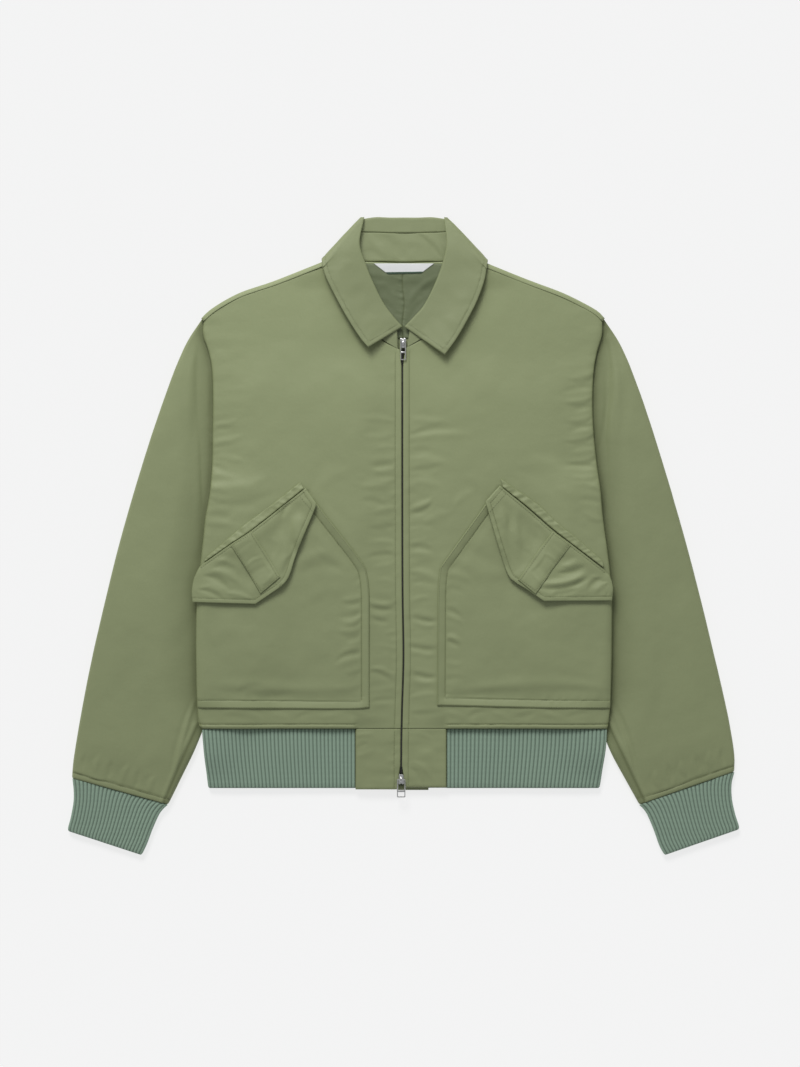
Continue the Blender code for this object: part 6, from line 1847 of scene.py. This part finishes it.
def slider(name, node, spec, wide_end):
    x, y, _ = spec
    outline = curve([(-3.0, -6.0), (0, -6.4), (3.0, -6.0), (3.4, -1), (4.5, 2.4), (4.4, 5.4), (2.6, 6.3), (0, 5.2),
                     (-2.6, 6.3), (-4.4, 5.4), (-4.5, 2.4), (-3.4, -1), (-3.0, -6.0)], 5)[:-1]
    outline *= (0.84, wide_end)
    joined = Joined()
    for low, high in ((SLIDER_LOW, 8.0), (10.9, SLIDER_TOP)):
        p, f = prism(outline + (x, y), low, high, 0.4)
        joined.add(p, outward(p, f))
    # flanges that hold the two plates and guide the teeth
    for side in (-1, 1):
        pts, f = rounded_box((1.0, 8.6, 3.6), 0.3)
        joined.add(pts + (x + side * 2.6, y - 1.2 * wide_end, 9.5), f)
    wedge, f = prism(np.array([(0, -0.6), (0.9, 3.0), (0.6, 5.0), (-0.6, 5.0), (-0.9, 3.0)]) * (1, wide_end) + (x, y), 7.6, 11.2, 0.2)
    joined.add(wedge, outward(wedge, f))
    # the bridge
    t = np.radians(np.linspace(0, 180, 15))
    line = np.column_stack([np.full(15, x), y + 3.0 * np.cos(t) * (1 + 0.1 * np.sin(t)), SLIDER_TOP - 0.4 + 2.9 * np.sin(t) ** 0.7])
    p, f = tube_loop(line, 2.2, 1.0)
    joined.add(p, f)
    obj = joined.build(name, nickel, sharp=35)
    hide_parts(node)
    return obj


def rect_ring(x0, x1, y0, y1, z, wide, thick, corner):
    """Closed rounded frame: outer edge x0..x1, y0..y1, with this width of metal."""
    def loop(inset):
        r = max(corner - inset, 0.25)
        pts = []
        for cx, cy, a0 in ((x1 - inset - r, y1 - inset - r, 0), (x0 + inset + r, y1 - inset - r, 90),
                           (x0 + inset + r, y0 + inset + r, 180), (x1 - inset - r, y0 + inset + r, 270)):
            for a in np.radians(a0 + np.linspace(0, 90, 6)):
                pts.append((cx + r * math.cos(a), cy + r * math.sin(a)))
        return np.array(pts)

    rings = []
    half = thick / 2
    for inset, dz in ((0.0, -half * 0.45), (0.0, half * 0.45), (wide * 0.18, half), (wide * 0.82, half),
                      (wide, half * 0.45), (wide, -half * 0.45), (wide * 0.82, -half), (wide * 0.18, -half)):
        rings.append(np.column_stack([loop(inset), np.full(24, z + dz)]))
    n = 24
    faces = []
    for k in range(len(rings)):
        m = (k + 1) % len(rings)
        for i in range(n):
            j = (i + 1) % n
            faces.append([k * n + i, k * n + j, m * n + j, m * n + i])
    points = np.vstack(rings)
    return points, outward(points, faces)


def pull(name, node, spec, length, body, bar_at):
    x, y, wide = spec
    joined = Joined()
    p, f = rect_ring(x - wide / 2, x + wide / 2, y - length, y + 0.7, PIN_Z, 1.45, 1.2, 1.3)
    joined.add(p, f)
    for at, deep in bar_at:
        pts, faces = rounded_box((wide - 1.6, deep, 1.1), 0.3)
        joined.add(pts + (x, y - length * at, PIN_Z), faces)
    obj = joined.build(name, nickel, body=body, sharp=35)
    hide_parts(node)
    return obj


# ---- stitching ------------------------------------------------------------------------------------------------------------------
def capsule(around=6):
    rings = [(-0.5, 0.0), (-0.42, 0.8), (0.0, 1.1), (0.42, 0.8), (0.5, 0.0)]
    points, faces = [(-0.5, 0, 0)], []
    for s, r in rings[1:-1]:
        for k in range(around):
            a = 2 * math.pi * k / around
            points.append((s, r * math.cos(a) / 2, r * math.sin(a) / 2))
    points.append((0.5, 0, 0))
    last = len(points) - 1
    for k in range(around):
        j = (k + 1) % around
        faces.append([0, 1 + j, 1 + k])
        for m in range(len(rings) - 3):
            a = 1 + m * around
            faces.append([a + k, a + j, a + around + j, a + around + k])
        faces.append([last, last - around + k, last - around + j])
    return np.array(points), faces


CAPSULE = capsule()


def stitches(joined, line, trees, step=STITCH_LONG + STITCH_GAP, sink=0.12, wide=STITCH_WIDE):
    """Thread along a plan line, each stitch laid on the cloth that it is sewn to."""
    line = np.asarray(line, float)
    far = lengths(line)
    n = int(far[-1] / step)
    if n < 1:
        return
    mids = (np.arange(n) + 0.5) * far[-1] / n
    pts, faces = CAPSULE

    def drop(s):
        p = np.array([np.interp(s, far, line[:, k]) for k in (0, 1)])
        best = None
        for tree in trees:
            hit = tree.ray_cast(Vector((p[0] * 0.001, p[1] * 0.001, 0.2)), Vector((0, 0, -1)))
            if hit[0] is not None and (best is None or hit[0].z > best):
                best = hit[0].z
        return None if best is None else np.array([p[0], p[1], best * 1000])

    for s in mids:
        a, b = drop(s - STITCH_LONG / 2), drop(s + STITCH_LONG / 2)
        if a is None or b is None or abs(a[2] - b[2]) > 2.0:
            continue
        d = b - a
        size = np.linalg.norm(d)
        d /= size
        side = np.cross([0, 0, 1.0], d)
        side /= np.linalg.norm(side)
        up = np.cross(d, side)
        middle = (a + b) / 2 + up * (wide * 0.5 - sink)
        joined.add(middle + pts[:, :1] * size * d + pts[:, 1:2] * wide * side + pts[:, 2:] * wide * up, faces)


def moved_in(line, by, inside):
    """A plan line moved sideways towards a point."""
    line = at_shares(line, np.linspace(0, 1, max(int(lengths(line)[-1] / 2.5), 4)))
    d = unit(np.gradient(line, axis=0))
    out = np.stack([-d[:, 1], d[:, 0]], axis=1)
    k = len(line) // 2
    if np.dot(out[k], np.array(inside) - line[k]) < 0:
        out = -out
    return line + out * by


# ---- the whole jacket ------------------------------------------------------------------------------------------------------------------
CLOTH_CUTS = {}


def sheet(obj, width, length):
    """A cloth piece's cut width and length, kept with the area that its surface measures."""
    area = obj["flat_mm2"] * 1e-6
    CLOTH_CUTS[obj.name] = (width, length, round(area, 4))


back_piece = back()
sleeves = {side: sleeve(side) for side in (-1, 1)}
cuffs = {side: cuff(side) for side in (-1, 1)}
hem_rib = rib_band()
fronts = {side: front(side) for side in (-1, 1)}
tabs = {side: hem_tab(side) for side in (-1, 1)}
pockets = {side: pocket(side, fronts[side]) for side in (-1, 1)}
welts = {side: welt(side, (fronts[side], pockets[side])) for side in (-1, 1)}
flaps = {side: flap(side, (fronts[side], pockets[side])) for side in (-1, 1)}
straps = {side: strap(side, flaps[side]) for side in (-1, 1)}
fall, stand, collar_form = collar()
back_facing = lining(back_piece)
size_label = label(back_facing)
guard = strip("look_zip_guard", "zip_guard", 234, -325.5, -4, 35, 4.85, 1.0, guard_cloth, 0.15)
tape = strip("look_zip_tape", "zip_tape", 237.5, -320, -14, 14, 6.1, 0.8, tape_cloth)
chain = zip_teeth()
top_slider = slider("look_slider_top", "slider_top", TOP_SLIDER, 1)
bottom_slider = slider("look_slider_bottom", "slider_bottom", BOTTOM_SLIDER, -1)
top_pull = pull("look_pull_top", "pull_top", TOP_SLIDER, 22, "top_pull", ((0.55, 1.8),))
bottom_pull = pull("look_pull_bottom", "pull_bottom", BOTTOM_SLIDER, 23, "bottom_pull", ((0.65, 2.2),))


def sew():
    trees = {name: tree_of(obj) for name, obj in made.items() if name.startswith("look_") and "slider" not in name}
    shell_thread, patch_thread = Joined(), Joined()
    for side in (-1, 1):
        tag = "right" if side < 0 else "left"
        panel, patch, lid, band = (trees["look_%s_%s" % (n, tag)] for n in ("front", "pocket", "flap", "flap_strap"))
        ys = np.linspace(-240.5, (235.5 if side < 0 else 238), 400)
        stitches(shell_thread, np.stack([zip_x(ys) + side * PLACKET, ys], axis=1), [panel, trees["look_collar_fall"]])
        ys = np.linspace(TAB_TOP_Y - 3, (TAB_RIGHT_BOTTOM_Y if side < 0 else TAB_LEFT_BOTTOM_Y) + 3, 60)
        stitches(shell_thread, np.stack([zip_x(ys) + side * PLACKET, ys], axis=1), [trees["look_hem_tab_" + tag]])
        edge = float(column(SIDE, 0, 1 if side < 0 else 3, HEM_Y + HEM_STITCH))
        xs = np.linspace(TAB_RIGHT_X if side < 0 else TAB_LEFT_X, edge - side * 3, 200)
        stitches(shell_thread, np.stack([xs, np.full(200, HEM_Y + HEM_STITCH)], axis=1), [panel])
        o = pocket_outline(side)
        middle = (np.mean([p[0] for p in pocket_spec(side)["bottom"]]), -133)
        upright = moved_in(o["zip_side"], POCKET_SEAM, middle)
        base = moved_in(o["bottom"], POCKET_SEAM, middle)
        corner = int(np.argmin(np.abs(upright[:, 1] - base[-1, 1])))
        stitches(patch_thread, upright[corner:], [patch, lid])
        keep = (base[:, 0] - upright[corner, 0]) * side >= -0.5
        stitches(patch_thread, base[keep], [patch])
        for line, inside in ((o["zip_side"], middle), (o["bottom"], middle)):
            stitches(patch_thread, moved_in(line, 1.7, inside), [patch])
        e = flap_edges(side)
        inside = tuple(np.mean(np.vstack([e["hem"], e["sewn"]]), axis=0))
        hem, tip = moved_in(e["hem"], FLAP_HEM, inside), moved_in(e["tip"], FLAP_HEM, inside)
        gap = np.linalg.norm(hem[:, None] - tip[None], axis=2)
        i, j = np.unravel_index(int(np.argmin(gap)), gap.shape)
        stitches(patch_thread, hem[:i + 1], [lid, band])
        stitches(patch_thread, tip[:j + 1], [lid, band])
        stitches(patch_thread, moved_in(e["sewn"], 2.5, inside), [lid, band])
        a, b, c, d = [np.array(p, float) for p in (STRAP_RIGHT if side < 0 else STRAP_LEFT)]
        heart = (a + b + c + d) / 4
        for p, q in ((a, d), (d, c), (b, c)):
            stitches(patch_thread, moved_in(np.array([p, q]), 2.6, heart), [band])
        rows = SLEEVE_RIGHT if side < 0 else SLEEVE_LEFT
        end = np.array([rows[-1][0:2], rows[-1][2:4]])
        up = np.array([np.mean(end[:, 0]), np.mean(end[:, 1]) + 60])
        line = moved_in(end, CUFF_STITCH, up)
        stitches(shell_thread, line[1:-1], [trees["look_sleeve_" + tag]])
    # the collar leaf's stitching, along its front ends and its free edge
    form = collar_form
    flat_rows = form["n"][:, 2] > 0.25
    for half in (slice(0, len(form["a"]) // 2), slice(len(form["a"]) // 2, None)):
        ok = flat_rows[half]
        edge = (form["b"] + unit(form["a"] - form["b"]) * COLLAR_STITCH)[half][ok][:, :2]
        end = 0 if half.start == 0 else -1
        a, b = form["a"][half][end][:2], form["b"][half][end][:2]
        way = unit(b - a)
        out = np.array([-way[1], way[0]])
        if np.dot(out, edge[len(edge) // 2] - b) < 0:
            out = -out
        off = (edge - a) @ out
        edge = edge[off > COLLAR_STITCH]
        stitches(shell_thread, edge, [trees["look_collar_fall"]])
        reach = np.linalg.norm(b - a) - COLLAR_STITCH
        start = a + out * COLLAR_STITCH + way * 2
        stitches(shell_thread, np.array([start, a + out * COLLAR_STITCH + way * reach]), [trees["look_collar_fall"]])
    ids = [shell_thread.build("look_stitching_shell", cloth_thread), patch_thread.build("look_stitching_pockets", cloth_thread)]
    return ids


shell_stitching, patch_stitching = sew()

# ---- the node that each look piece stands for, and the cloth pieces' cut sizes and areas ------------------------------------------------
for name, obj in made.items():
    node = name[len("look_"):]
    if node.startswith("stitching"):
        node = "front_right" if node.endswith("shell") else "pocket_right"

for side in (-1, 1):
    sheet(fronts[side], 0.275, 0.640)
    sheet(sleeves[side], 0.500, 0.660)
    sheet(cuffs[side], 0.280, 0.075)
    sheet(tabs[side], 0.062, 0.080)
    sheet(pockets[side], 0.230, 0.290)
    sheet(welts[side], 0.165, 0.012)
    sheet(flaps[side], 0.170, 0.140)
    sheet(straps[side], 0.032, 0.076)
sheet(back_piece, 0.560, 0.640)
sheet(hem_rib, 1.020, 0.080)
sheet(fall, 0.500, 0.100)
sheet(stand, 0.420, 0.040)
sheet(back_facing, 0.120, 0.100)
sheet(size_label, 0.080, 0.014)
sheet(guard, 0.041, 0.562)
sheet(tape, 0.030, 0.560)

# ---- floor, light and camera ------------------------------------------------------------------------------------------------------------
FLOOR_LIGHT = 0.896

floor_mesh = bpy.data.meshes.new("floor")
floor_mesh.from_pydata([(-6, -6, -0.0006), (6, -6, -0.0006), (6, 6, -0.0006), (-6, 6, -0.0006)], [], [(0, 1, 2, 3)])
floor = bpy.data.objects.new("floor", floor_mesh)
bpy.context.scene.collection.objects.link(floor)
floor_mat, nodes, links, shader, where = new_material("floor_paper")
grain = noise_node(nodes, links, where, 300.0, 3.0)
links.new(mix_colour(nodes, links, grain, (0.28, 0.28, 0.28), (0.285, 0.285, 0.285)), shader.inputs["Base Color"])
shader.inputs["Roughness"].default_value = 1.0
shader.inputs["Specular IOR Level"].default_value = 0.0
shader.inputs["Emission Color"].default_value = (1, 1, 1, 1)
shader.inputs["Emission Strength"].default_value = 0.725
floor_mesh.materials.append(floor_mat)

world = bpy.data.worlds.new("studio")
bpy.context.scene.world = world
world.use_nodes = True
sky = world.node_tree.nodes["Background"]
sky.inputs["Color"].default_value = (0.97, 0.985, 1.0, 1)
sky.inputs["Strength"].default_value = 0.36


def sun(name, azimuth, height, strength, angle, colour=(1, 1, 1)):
    """Soft light from this compass direction (0 is +Y, 90 is +X) and height above the surface."""
    data = bpy.data.lights.new(name, "SUN")
    data.energy, data.angle, data.color = strength, math.radians(angle), colour
    obj = bpy.data.objects.new(name, data)
    a, h = math.radians(azimuth), math.radians(height)
    way = Vector((math.sin(a) * math.cos(h), math.cos(a) * math.cos(h), math.sin(h)))
    obj.rotation_euler = way.to_track_quat("Z", "Y").to_euler()
    obj.location = way * 3
    bpy.context.scene.collection.objects.link(obj)
    return obj


sun("key", -14, 37, 1.42, 20, (1.0, 0.995, 0.98))

# a soft box close over the collar end, a little to the left of the picture; it lights the cloth alone
box = bpy.data.lights.new("soft_box", "AREA")
box.shape, box.size, box.energy = "SQUARE", 0.6, 4.3
box_obj = bpy.data.objects.new("soft_box", box)
box_obj.location = (-0.20, 0.86, 0.66)
box_obj.rotation_euler = Vector((-0.20, 0.70, 0.66)).to_track_quat("Z", "Y").to_euler()
bpy.context.scene.collection.objects.link(box_obj)
lit = bpy.data.collections.new("lit_by_soft_box")
for obj in made.values():
    lit.objects.link(obj)
box_obj.light_linking.receiver_collection = lit

bpy.context.scene.view_settings.view_transform = "Standard"
camera_data = bpy.data.cameras.new("camera")
camera = bpy.data.objects.new("camera", camera_data)
bpy.context.scene.collection.objects.link(camera)
CAMERA_HEIGHT = 4.010
camera.location = (-0.0045, 0.0032, CAMERA_HEIGHT)
camera_data.sensor_width = 36.0
camera_data.lens = 36.0 * (CAMERA_HEIGHT - 0.010) / 1.366
camera_data.clip_end = 30
bpy.context.scene.camera = camera
